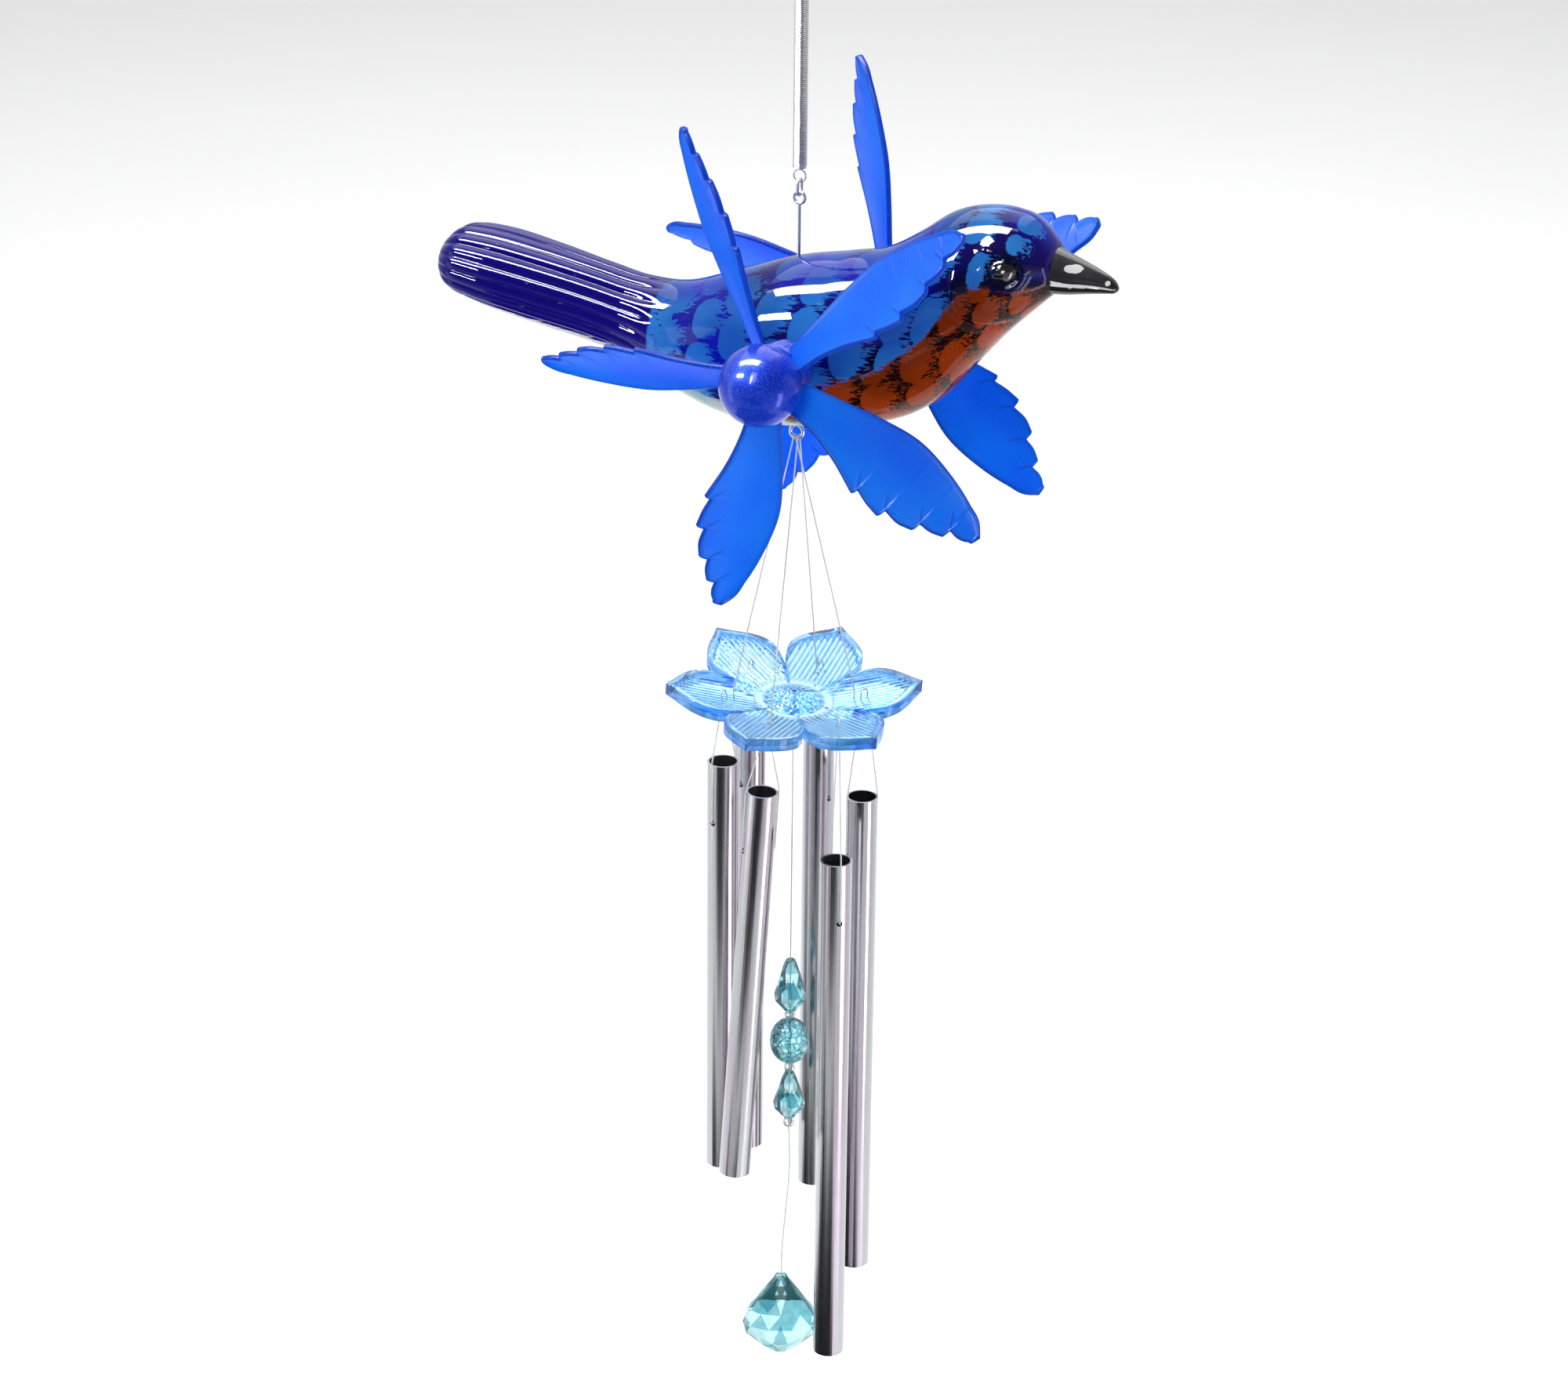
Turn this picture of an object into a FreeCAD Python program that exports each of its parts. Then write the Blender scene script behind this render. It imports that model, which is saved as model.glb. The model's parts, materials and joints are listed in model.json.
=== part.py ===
import FreeCAD, Part
import math
import os

# Hanging bird whirligig with a wind chime.
# Frame: +Z up, beak towards +X, propeller axle along Y. The origin is the hang point,
# the top of the inside of the S-hook, so every piece lies below it. Millimetres.

V = FreeCAD.Vector
X_AXIS = V(1, 0, 0)
Y_AXIS = V(0, 1, 0)
Z_AXIS = V(0, 0, 1)
NO_TURN = FreeCAD.Rotation()

doc = FreeCAD.newDocument("whirligig")
sheet = doc.addObject("Spreadsheet::Sheet", "sizes")

DRIVING_DIMENSIONS = [
    ("hook_wire", 2.0),            # S-hook wire
    ("hook_bow", 6.0),             # inner radius of the hook's upper bow
    ("hook_foot", 3.5),            # inner radius of its lower bow
    ("spring_wire", 0.7),
    ("spring_outer", 5.5),         # coil and loop outside diameter
    ("coil_length", 80.5),
    ("loop_gap", 0.1),             # air between a loop and what it hangs in
    ("link_wire", 1.2),
    ("link_length", 7.4),
    ("link_width", 4.8),
    ("hanger_wire", 1.3),
    ("hanger_eye", 2.2),           # centreline radius of the eye above the back
    ("belly_eye", 2.6),            # centreline radius of the eye under the belly
    ("belly_eye_drop", 209.6),     # its centre, below the hang point
    ("axle_drop", 170.0),          # axle below the hang point
    ("axle_x", 14.0),
    ("axle_dia", 3.0),
    ("axle_half", 61.5),
    ("shell_wall", 1.8),
    ("boss_dia", 12.0),
    ("boss_face", 36.5),           # boss face, out from the middle plane
    ("sleeve_dia", 6.0),
    ("washer_dia", 10.0),
    ("washer_thick", 1.0),
    ("washer_bore", 3.1),
    ("nut_dia", 8.0),
    ("nut_start", 58.6),
    ("nut_thick", 1.4),
    ("cup_start", 38.0),
    ("hub_split", 53.2),           # where the cup meets the ball cap
    ("cup_back", 10.6),            # outer radius at the cup's back
    ("cup_front", 12.0),           # outer radius at the cup's front
    ("hub_wall", 1.6),
    ("hub_tube", 4.4),             # outer radius of the bearing housing
    ("bearing_bore", 3.12),
    ("bearing_end", 58.0),
    ("ball_centre", 64.0),
    ("ball_radius", 15.2),
    ("blade_plane", 54.0),
    ("blade_pitch", 45.0),
    ("blade_thick", 1.6),
    ("blade_phase_right", 110.3),
    ("blade_phase_left", 79.7),
    ("blade_count", 5),
    ("flower_drop", 321.0),        # middle of the flower's floor
    ("flower_radius", 51.0),
    ("flower_floor", 14.0),        # radius of its flat floor
    ("flower_rise", 7.5),          # tips above the floor
    ("flower_thick", 4.0),
    ("flower_dome", 12.0),
    ("dome_height", 4.0),
    ("flower_phase", 32.7),
    ("flower_tilt_x", 4.5),
    ("flower_tilt_y", 5.8),
    ("support_ring", 24.0),
    ("cord_hole", 1.4),
    ("cord_dia", 0.6),
    ("tube_ring", 28.0),
    ("tube_dia", 12.7),
    ("tube_wall", 0.8),
    ("tube_hole", 2.4),
    ("tube_hole_drop", 25.0),      # cross hole below the tube's top
    ("loop_half", 1.5),            # half the spacing of a petal's pair of holes
    ("bead_bore", 1.2),
    ("string_top", 318.0),
    ("string_end", 528.6),
    ("gem_top", 584.0),
]

for row, (alias, value) in enumerate(DRIVING_DIMENSIONS, start=1):
    sheet.set("A%d" % row, alias)
    sheet.set("B%d" % row, str(value))
    sheet.setAlias("B%d" % row, alias)
doc.recompute()

pieces = []


def size(alias):
    """A driving dimension's number, read back from the sheet."""
    return float(sheet.get(alias))


def keep(piece, label):
    """Name a finished sub-part and put it on the list that is written."""
    piece.Label = label
    pieces.append(piece)
    return piece


def feature(label, shape, base=V(0, 0, 0), turn=NO_TURN):
    """A sub-part whose shape comes from Part's own functions."""
    piece = doc.addObject("Part::Feature", label)
    piece.Shape = shape
    piece.Placement = FreeCAD.Placement(base, turn)
    return keep(piece, label)


def bind(piece, **expressions):
    for name, text in expressions.items():
        piece.setExpression(name.replace("__", "."), text)


def torus(label, ring, wire, drop, turn):
    """A closed wire ring on the hang line; ring and wire are expressions."""
    piece = doc.addObject("Part::Torus", label)
    bind(piece, Radius1=ring, Radius2=wire)
    piece.Placement = FreeCAD.Placement(V(0, 0, 0), turn)
    bind(piece, Placement__Base__z="-(%s)" % drop)
    return piece


def sleeve(label, outer, inner, length, turn=NO_TURN):
    """A round tube from radii and length given as expressions, its bore cut right through."""
    body = doc.addObject("Part::Cylinder", label + "_body")
    bind(body, Radius=outer, Height=length)
    bore = doc.addObject("Part::Cylinder", label + "_bore")
    bind(bore, Radius=inner, Height="%s + 2" % length)
    bore.Placement = FreeCAD.Placement(V(0, 0, -1), NO_TURN)
    piece = doc.addObject("Part::Cut", label)
    piece.Base = body
    piece.Tool = bore
    piece.Placement = FreeCAD.Placement(V(0, 0, 0), turn)
    return keep(piece, label)


def rod(radius, start, end):
    """A solid cylinder between two points."""
    span = end.sub(start)
    return Part.makeCylinder(radius, span.Length, start, span)


def turned(profile, start, axis):
    """The solid that a closed profile makes when it is turned once round an axis."""
    return Part.Face(Part.makePolygon(profile + [profile[0]])).revolve(start, axis, 360)


def polar(radius, degrees, height=0.0):
    angle = math.radians(degrees)
    return V(radius * math.cos(angle), radius * math.sin(angle), height)


def tangent_path(points, bends):
    """Straight runs joined by tangent arcs; bends gives each inner point's radius, or None for 0.45 of the
    shorter run over the tangent of half the turn. Returns the wire and the radii."""
    edges = []
    radii = []
    at = points[0]
    for before, corner, after, bend in zip(points, points[1:], points[2:], bends):
        to_start = before.sub(corner).normalize()
        to_end = after.sub(corner).normalize()
        half_turn = (math.pi - to_start.getAngle(to_end)) / 2
        shorter = min(before.distanceToPoint(corner), after.distanceToPoint(corner))
        radius = bend or 0.45 * shorter / math.tan(half_turn)
        setback = radius * math.tan(half_turn)
        start = corner + to_start * setback
        end = corner + to_end * setback
        inward = (to_start + to_end).normalize()
        middle = corner + inward * (radius / math.cos(half_turn) - radius)
        edges.append(Part.LineSegment(at, start).toShape())
        edges.append(Part.Arc(start, middle, end).toShape())
        radii.append(round(radius, 2))
        at = end
    edges.append(Part.LineSegment(at, points[-1]).toShape())
    return Part.Wire(edges), radii


def along(wire, radius):
    """A round section carried along a wire that starts with a straight run."""
    first = wire.Edges[0]
    start = first.valueAt(first.FirstParameter)
    direction = first.tangentAt(first.FirstParameter)
    section = Part.Wire(Part.makeCircle(radius, start, direction))
    return wire.makePipeShell([section], True, False)


def cord(label, points, bends, base=V(0, 0, 0), turn=NO_TURN):
    """One nylon strand; prints its bend radii and compares its volume with section times length."""
    wire, radii = tangent_path(points, bends)
    radius = size("cord_dia") / 2
    solid = along(wire, radius)
    wanted = math.pi * radius ** 2 * wire.Length
    print("%s length %.1f radii %s volume ratio %.4f" % (label, wire.Length, radii, solid.Volume / wanted))
    if abs(solid.Volume / wanted - 1) > 0.01:
        raise ValueError(label + " is pinched")
    return feature(label, solid, base, turn)


# ---------------------------------------------------------------- hook, spring, link, hanger wire

EDGE_ON = FreeCAD.Rotation(Y_AXIS, 90)      # ring in the YZ plane
FACE_ON = FreeCAD.Rotation(X_AXIS, 90)      # ring in the XZ plane


def hanging_hook():
    """S-hook: the upper bow opens to the tail side, the lower bow to the beak side."""
    wire = size("hook_wire") / 2
    bow = size("hook_bow") + wire
    foot = size("hook_foot") + wire
    bow_centre = V(0, 0, -size("hook_bow"))
    foot_centre = V(0, 0, bow_centre.z - bow - foot)
    open_end = math.radians(165)
    edges = [
        Part.Arc(
            bow_centre + V(bow * math.cos(open_end), 0, bow * math.sin(open_end)),
            bow_centre + V(bow * math.cos(0.8), 0, bow * math.sin(0.8)),
            bow_centre + V(0, 0, -bow),
        ).toShape(),
        Part.Arc(
            foot_centre + V(0, 0, foot),
            foot_centre + V(-foot * math.cos(0.8), 0, -foot * math.sin(0.8)),
            foot_centre + V(foot, 0, 0),
        ).toShape(),
    ]
    feature("hanging_hook", along(Part.Wire(edges), wire))
    return -foot_centre.z + size("hook_foot")


foot_drop = hanging_hook()
loop_centre = "(sizes.spring_outer - sizes.spring_wire) / 2"
top_loop_radius = "%s + sizes.loop_gap" % loop_centre
top_loop_drop = "%s - sizes.spring_wire / 2 + %s" % (foot_drop, loop_centre)
coil_top_drop = "%s + sizes.spring_outer / 2 + 2 * sizes.loop_gap" % top_loop_drop
end_loop_drop = "%s + sizes.coil_length + sizes.loop_gap + sizes.spring_outer / 2" % coil_top_drop

keep(torus("spring_top_loop", top_loop_radius, "sizes.spring_wire / 2", top_loop_drop, EDGE_ON), "spring_top_loop")
keep(torus("spring_end_loop", loop_centre, "sizes.spring_wire / 2", end_loop_drop, FACE_ON), "spring_end_loop")
coil = sleeve(
    "spring_coil", "sizes.spring_outer / 2", "sizes.spring_outer / 2 - sizes.spring_wire", "sizes.coil_length"
)
bind(coil, Placement__Base__z="-(%s) - sizes.coil_length" % coil_top_drop)
doc.recompute()

loop_radius = (size("spring_outer") - size("spring_wire")) / 2
end_loop_centre = -doc.getObject("spring_end_loop").Placement.Base.z
link_top = end_loop_centre + loop_radius - size("spring_wire") / 2 - size("link_wire") / 2 - size("loop_gap")
link_bottom = link_top + size("link_length") - size("link_wire")
eye_centre = link_bottom - (size("link_wire") + size("hanger_wire")) / 2 - size("loop_gap") + size("hanger_eye")


def oval_link():
    """Racetrack of wire in the YZ plane."""
    radius = (size("link_width") - size("link_wire")) / 2
    top = -link_top - radius
    bottom = -link_bottom + radius
    edges = [
        Part.LineSegment(V(0, radius, bottom), V(0, radius, top)).toShape(),
        Part.Arc(V(0, radius, top), V(0, 0, top + radius), V(0, -radius, top)).toShape(),
        Part.LineSegment(V(0, -radius, top), V(0, -radius, bottom)).toShape(),
        Part.Arc(V(0, -radius, bottom), V(0, 0, bottom - radius), V(0, radius, bottom)).toShape(),
    ]
    feature("link", along(Part.Wire(edges), size("link_wire") / 2))


def hanger_wire():
    """One wire through the bird, with an eye above the back and an eye under the belly."""
    wire = size("hanger_wire") / 2
    shank_top = -eye_centre - size("hanger_eye")
    shank_bottom = -size("belly_eye_drop") + size("belly_eye")
    eye = Part.makeTorus(size("hanger_eye"), wire, V(0, 0, -eye_centre), Y_AXIS)
    belly = Part.makeTorus(size("belly_eye"), wire, V(0, 0, -size("belly_eye_drop")), Y_AXIS)
    shank = rod(wire, V(0, 0, shank_bottom), V(0, 0, shank_top))
    feature("hanger_wire", eye.fuse([shank, belly]))


oval_link()
hanger_wire()

# ---------------------------------------------------------------- bird

# Stations along the bird: x, middle height above the axle, half height, half width.
BIRD_STATIONS = [
    (-151.0, 10.2, 3.0, 4.5),
    (-148.5, 10.3, 9.0, 13.5),
    (-142.0, 10.2, 12.8, 19.0),
    (-128.0, 8.3, 15.0, 21.0),
    (-105.0, 4.3, 15.7, 19.5),
    (-82.0, 0.0, 15.6, 17.5),
    (-66.0, -3.4, 16.2, 17.5),
    (-48.0, -7.4, 20.8, 21.5),
    (-25.0, -7.2, 28.3, 27.0),
    (0.0, -3.2, 32.9, 30.2),
    (20.0, 0.5, 33.4, 31.0),
    (36.0, 4.2, 33.8, 30.0),
    (50.0, 11.4, 35.0, 27.5),
    (62.0, 20.0, 34.8, 25.0),
    (74.0, 29.0, 29.6, 23.0),
    (86.0, 36.0, 22.8, 20.0),
    (95.0, 39.0, 17.0, 16.0),
    (100.5, 39.0, 11.6, 11.0),
    (103.5, 38.4, 6.5, 6.0),
]
BEAK_STATIONS = [
    (99.0, 38.2, 9.0, 8.4),
    (106.0, 37.4, 7.9, 7.0),
    (113.0, 36.8, 6.4, 5.5),
    (120.0, 35.8, 4.4, 3.9),
    (127.0, 34.4, 1.5, 1.5),
]
HOLLOW_STATIONS = slice(2, 17)


def ring_section(along_x, middle, tall, wide):
    """Closed smooth oval in a plane of constant x, started at the top on every section."""
    points = []
    for step in range(12):
        angle = math.radians(30 * step)
        points.append(V(along_x, wide * math.sin(angle), middle + tall * math.cos(angle)))
    curve = Part.BSplineCurve()
    curve.interpolate(Points=points, PeriodicFlag=True)
    return Part.Wire(curve.toShape())


def bird_shells():
    """Two hollow halves that meet on the middle plane, each with a boss for the axle."""
    wall = size("shell_wall")
    outer = Part.makeLoft([ring_section(*station) for station in BIRD_STATIONS], True, False)
    outer = outer.fuse(Part.makeLoft([ring_section(*station) for station in BEAK_STATIONS], True, False))
    inner = Part.makeLoft(
        [ring_section(x, mid, tall - wall, wide - wall) for x, mid, tall, wide in BIRD_STATIONS[HOLLOW_STATIONS]],
        True,
        False,
    )
    axle_x = size("axle_x")
    boss_root = size("boss_face") - 12
    wire_hole = rod(size("hanger_wire") / 2 + 0.02, V(0, 0, -80), V(0, 0, 80))
    hollow = outer.cut(inner).cut(wire_hole)
    reach = 400
    for side, label in ((-1, "body_shell_right"), (1, "body_shell_left")):
        half_space = Part.makeBox(reach, reach / 2, reach, V(-reach / 2, min(0, side * reach / 2), -reach / 2))
        boss = rod(size("boss_dia") / 2, V(axle_x, side * boss_root, 0), V(axle_x, side * size("boss_face"), 0))
        bore = rod(size("sleeve_dia") / 2, V(axle_x, side * (boss_root - 1), 0), V(axle_x, side * 60, 0))
        feature(label, hollow.common(half_space).fuse(boss).cut(bore), V(0, 0, -size("axle_drop")))


bird_shells()

SIDES = (("right", -1, FreeCAD.Rotation(X_AXIS, 90)), ("left", 1, FreeCAD.Rotation(X_AXIS, -90)))

axle = doc.addObject("Part::Cylinder", "axle")
bind(axle, Radius="sizes.axle_dia / 2", Height="2 * sizes.axle_half")
axle.Placement = FreeCAD.Placement(V(0, 0, 0), FreeCAD.Rotation(X_AXIS, 90))
bind(
    axle,
    Placement__Base__x="sizes.axle_x",
    Placement__Base__y="sizes.axle_half",
    Placement__Base__z="-sizes.axle_drop",
)
keep(axle, "axle")


def on_axle(label, side, turn, outer, inner, start, length):
    """A sleeve on the axle, from start outwards on one side; sizes are expressions."""
    piece = sleeve(label, outer, inner, length, turn)
    bind(
        piece,
        Placement__Base__x="sizes.axle_x",
        Placement__Base__y="%d * (%s)" % (side, start),
        Placement__Base__z="-sizes.axle_drop",
    )


for name, side, turn in SIDES:
    on_axle(
        "axle_bushing_" + name, side, turn, "sizes.sleeve_dia / 2", "sizes.axle_dia / 2", "sizes.boss_face - 12", "12"
    )
    on_axle(
        "thrust_washer_" + name,
        side,
        turn,
        "sizes.washer_dia / 2",
        "sizes.washer_bore / 2",
        "sizes.boss_face + 0.1",
        "sizes.washer_thick",
    )
    on_axle(
        "push_nut_" + name, side, turn, "sizes.nut_dia / 2", "sizes.axle_dia / 2", "sizes.nut_start", "sizes.nut_thick"
    )
    on_axle(
        "hub_bushing_" + name,
        side,
        turn,
        "sizes.sleeve_dia / 2",
        "sizes.bearing_bore / 2",
        "sizes.cup_start",
        "sizes.bearing_end - sizes.cup_start",
    )

# ---------------------------------------------------------------- propellers

# Blade outline in its own plane: distance from the axle, distance across.
BLADE_SMOOTH_EDGE = [(8, -6.2), (22, -9.6), (41, -14.8), (56, -17.2), (71, -15.2), (85, -10.8), (95, -5.6)]
BLADE_FEATHER_EDGE = [
    (96.0, -3.6),
    (94.6, -0.8),
    (91.5, 1.4),
    (85.2, 1.6),
    (84.8, 5.4),
    (76.0, 7.0),
    (74.6, 10.8),
    (63.3, 11.6),
    (61.6, 14.9),
    (50.8, 12.4),
    (49.0, 14.4),
    (35.0, 8.8),
    (25.0, 6.6),
    (8.0, 5.8),
]


def blade_shape():
    """Flat feather, thick about its own middle plane; x is outwards, y across."""
    smooth = Part.BSplineCurve()
    smooth.interpolate([V(out, across, 0) for out, across in BLADE_SMOOTH_EDGE])
    corners = [BLADE_SMOOTH_EDGE[-1]] + BLADE_FEATHER_EDGE + [BLADE_SMOOTH_EDGE[0]]
    feathers = Part.makePolygon([V(out, across, 0) for out, across in corners])
    face = Part.Face(Part.Wire([smooth.toShape()] + feathers.Edges))
    thick = size("blade_thick")
    face.translate(V(0, 0, -thick / 2))
    return face.extrude(V(0, 0, thick))


def blade_place(phase, number):
    """Where a blade sits on a right-hand propeller: pitched, then turned round the axle."""
    angle = math.radians(phase - 360 / size("blade_count") * number)
    pitch = math.radians(size("blade_pitch"))
    outwards = V(math.cos(angle), 0, math.sin(angle))
    sideways = V(math.sin(angle), 0, -math.cos(angle))
    across = sideways * math.cos(pitch) + V(0, -math.sin(pitch), 0)
    turn = FreeCAD.Rotation(outwards, across, outwards.cross(across), "XYZ")
    return FreeCAD.Placement(V(0, -size("blade_plane"), 0), turn)


def hub_cup():
    """Rear cup of the hub with the bearing housing in its middle; outwards is -Y."""
    start, split = -size("cup_start"), -size("hub_split")
    back, front = size("cup_back"), size("cup_front")
    wall, tube = size("hub_wall"), size("hub_tube")
    bore = size("sleeve_dia") / 2
    end = -size("bearing_end")
    profile = [
        V(bore, start, 0),
        V(back - 2.5, start, 0),
        V(back, start - 2.5, 0),
        V(front, split, 0),
        V(front - wall, split, 0),
        V(back - wall, start - wall, 0),
        V(tube, start - wall, 0),
        V(tube, end, 0),
        V(bore, end, 0),
    ]
    return turned(profile, V(0, 0, 0), Y_AXIS)


def hub_cap():
    """Hollow ball that closes the hub."""
    centre = V(0, -size("ball_centre"), 0)
    radius = size("ball_radius")
    ball = Part.makeSphere(radius, centre).cut(Part.makeSphere(radius - size("hub_wall"), centre))
    behind = Part.makeBox(60, 60, 60, V(-30, -size("hub_split"), -30))
    return ball.cut(behind)


def propeller(name, phase, turn):
    blade = blade_shape()
    numbers = range(int(size("blade_count")))
    places = [blade_place(phase, number) for number in numbers]
    slots = []
    for place in places:
        slot = blade.copy()
        slot.Placement = place
        slots.append(slot)
    base = V(size("axle_x"), 0, -size("axle_drop"))
    feature("hub_cup_" + name, hub_cup().cut(slots), base, turn)
    feature("hub_cap_" + name, hub_cap().cut(slots), base, turn)
    whole = FreeCAD.Placement(base, turn)
    for number, place in zip(numbers, places):
        seat = whole.multiply(place)
        feature("blade_%s_%d" % (name, number + 1), blade.copy(), seat.Base, seat.Rotation)


propeller("right", size("blade_phase_right"), NO_TURN)
propeller("left", size("blade_phase_left"), FreeCAD.Rotation(Z_AXIS, 180))

# ---------------------------------------------------------------- flower

flower_turn = (
    FreeCAD.Rotation(X_AXIS, size("flower_tilt_x"))
    * FreeCAD.Rotation(Y_AXIS, size("flower_tilt_y"))
    * FreeCAD.Rotation(Z_AXIS, size("flower_phase"))
)
flower_place = FreeCAD.Placement(V(0, 0, -size("flower_drop")), flower_turn)
PETALS = 6


def petal_rise(radius):
    """Height of the flower's upper face above its floor."""
    beyond = max(0.0, radius - size("flower_floor"))
    return size("flower_rise") * beyond / (size("flower_radius") - size("flower_floor"))


def petal_point(radius, degrees):
    """A point of the upper face, in the whole object's frame."""
    return flower_place.multVec(polar(radius, degrees, petal_rise(radius)))


# Tubes: petal, length, top below the hang point, direction of the cross hole, lean towards the tail.
TUBES = {
    1: (3, 181.0, 345.8, -105.6, 0.0),
    2: (2, 192.0, 340.5, -102.6, 0.0),
    3: (4, 170.0, 349.0, -135.6, 3.4),
    4: (1, 204.0, 348.5, -20.6, 0.0),
    5: (5, 226.0, 380.3, -50.6, 0.0),
    6: (0, 215.0, 364.4, -125.6, 0.0),
}
SUPPORT_PETALS = {"a": (3, 0), "b": (1, 4)}


def tube_seat(number):
    """Where a tube's loop crosses its petal, and the direction across the loop."""
    petal, _, _, hole_direction, _ = TUBES[number]
    return petal_point(size("tube_ring"), 360 / PETALS * petal), polar(1, hole_direction)


def support_seats(name):
    return [petal_point(size("support_ring"), 360 / PETALS * petal) for petal in SUPPORT_PETALS[name]]


def flower():
    """Shallow six-petal bowl with a domed middle, drilled for the cords."""
    radius, floor = size("flower_radius"), size("flower_floor")
    rise, thick = size("flower_rise"), size("flower_thick")
    profile = [V(0, 0, 0), V(floor, 0, 0), V(radius, 0, rise), V(radius, 0, rise - thick), V(floor, 0, -thick)]
    bowl = turned(profile + [V(0, 0, -thick)], V(0, 0, 0), Z_AXIS)
    outline = []
    for petal in range(PETALS):
        middle = 60 * petal
        valley = polar(25, middle - 30)
        shoulder = polar(38, middle - 22)
        tip = polar(radius - 0.4, middle)
        edge = Part.BSplineCurve()
        edge.interpolate([valley, shoulder, tip])
        outline.append(edge.toShape())
        edge = Part.BSplineCurve()
        edge.interpolate([tip, polar(38, middle + 22), polar(25, middle + 30)])
        outline.append(edge.toShape())
    plate = Part.Face(Part.Wire(outline))
    plate.translate(V(0, 0, -10))
    dome, tall = size("flower_dome"), size("dome_height")
    ball = (dome ** 2 + tall ** 2) / (2 * tall)
    cap = Part.makeSphere(ball, V(0, 0, tall - ball)).common(Part.makeCylinder(dome, tall + 1, V(0, 0, -0.5)))
    shape = bowl.common(plate.extrude(V(0, 0, 30))).fuse(cap)
    drill_tops = [V(0, 0, -size("flower_drop"))]
    for number in TUBES:
        seat, across = tube_seat(number)
        drill_tops += [seat + across * size("loop_half"), seat - across * size("loop_half")]
    for name in SUPPORT_PETALS:
        drill_tops += support_seats(name)
    drills = [rod(size("cord_hole") / 2, top - V(0, 0, 20), top + V(0, 0, 20)) for top in drill_tops]
    back = flower_place.inverse()
    for drill in drills:
        drill.Placement = back
    feature("flower", shape.cut(drills), flower_place.Base, flower_place.Rotation)


flower()


def support_cord(name, beside):
    """A strand from under one petal, up over the belly eye, and down to under the opposite petal."""
    start, end = support_seats(name)
    wire = size("hanger_wire") / 2 + size("cord_dia") / 2 + 0.05
    top = -size("belly_eye_drop") - size("belly_eye")
    below = V(0, 0, size("flower_thick"))
    over = top + size("belly_eye") - math.sqrt((size("belly_eye") - wire) ** 2 - beside ** 2)
    side = 1 if start.y > end.y else -1
    points = [
        start - below,
        start + V(0, 0, 3),
        V(beside, side * wire, top),
        V(beside, side * wire, over),
        V(beside, -side * wire, over),
        V(beside, -side * wire, top),
        end + V(0, 0, 3),
        end - below,
    ]
    snug = wire * 0.98
    cord("support_cord_" + name, points, [2.0, 1.5, snug, snug, 1.5, 2.0])


support_cord("a", -0.9)
support_cord("b", 0.9)


# ---------------------------------------------------------------- tubes

VIEW_SIDE = polar(1, 24.4)                  # the third tube leans against this direction


def chime_tube(number):
    """A tube on its loop of cord; both lean about the petal where the loop crosses it."""
    _, length, top_drop, hole_direction, lean = TUBES[number]
    seat, across = tube_seat(number)
    wall = size("tube_wall")
    radius = size("tube_dia") / 2
    top = -top_drop - seat.z
    hole = top - size("tube_hole_drop")
    tube = Part.makeCylinder(radius, length, V(0, 0, top - length))
    tube = tube.cut(Part.makeCylinder(radius - wall, length + 2, V(0, 0, top - length - 1)))
    tube = tube.cut(rod(size("tube_hole") / 2, across * -10 + V(0, 0, hole), across * 10 + V(0, 0, hole)))
    turn = FreeCAD.Rotation(VIEW_SIDE.cross(Z_AXIS), -lean)
    feature("tube_%d" % number, tube, seat, turn)
    beside = radius + size("cord_dia") / 2 + 0.3
    petal = size("loop_half")
    crown = 1.6
    half = [(0.8, hole), (beside, hole), (beside, top + 0.6), (petal, -size("flower_thick") - 2), (petal, crown)]
    points = [across * out + V(0, 0, up) for out, up in half]
    points += [across * -out + V(0, 0, up) for out, up in reversed(half)]
    over = petal * 0.96
    cord("tube_cord_%d" % number, points, [1.0, 2.0, 2.0, over, over, 2.0, 2.0, 1.0], seat, turn)


for number in TUBES:
    chime_tube(number)

# ---------------------------------------------------------------- bead string and gem

# Beads from the top: name, top below the hang point, height, widest radius, how far down the widest line is.
FACETED_BEADS = [("bead_top", 435.8, 23.4, 6.6, 0.68), ("bead_bottom", 487.5, 21.0, 6.6, 0.72)]
ROUND_BEADS = [
    ("spacer_bead_1", 459.4, 3.2, 2.4),
    ("bead_middle", 462.8, 20.0, 8.2),
    ("spacer_bead_2", 483.0, 4.3, 2.4),
    ("spacer_bead_3", 508.7, 4.4, 2.5),
]
FACETS = 8


def faceted_bead(label, top, tall, radius, widest):
    """Eight-sided double cone with flat ends, bored for the string."""
    levels = [(0, 0.34), (0.3, 0.62), (widest, 1.0), (0.93, 0.5), (1.0, 0.36)]
    rings = []
    for down, share in levels:
        corners = [polar(radius * share, 360 / FACETS * side, -down * tall) for side in range(FACETS + 1)]
        rings.append(Part.makePolygon(corners))
    bead = Part.makeLoft(rings, True, True)
    bore = Part.makeCylinder(size("bead_bore") / 2, tall + 2, V(0, 0, -tall - 1))
    feature(label, bead.cut(bore), V(0, 0, -top))


def round_bead(label, top, tall, radius):
    """Ball, flattened to its height, bored for the string."""
    ball = Part.makeSphere(radius)
    squeeze = FreeCAD.Matrix()
    squeeze.scale(1, 1, tall / 2 / radius)
    bore = Part.makeCylinder(size("bead_bore") / 2, tall + 2, V(0, 0, -tall / 2 - 1))
    feature(label, ball.transformGeometry(squeeze).cut(bore), V(0, 0, -top - tall / 2))


for bead in FACETED_BEADS:
    faceted_bead(*bead)
for bead in ROUND_BEADS:
    round_bead(*bead)

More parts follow.
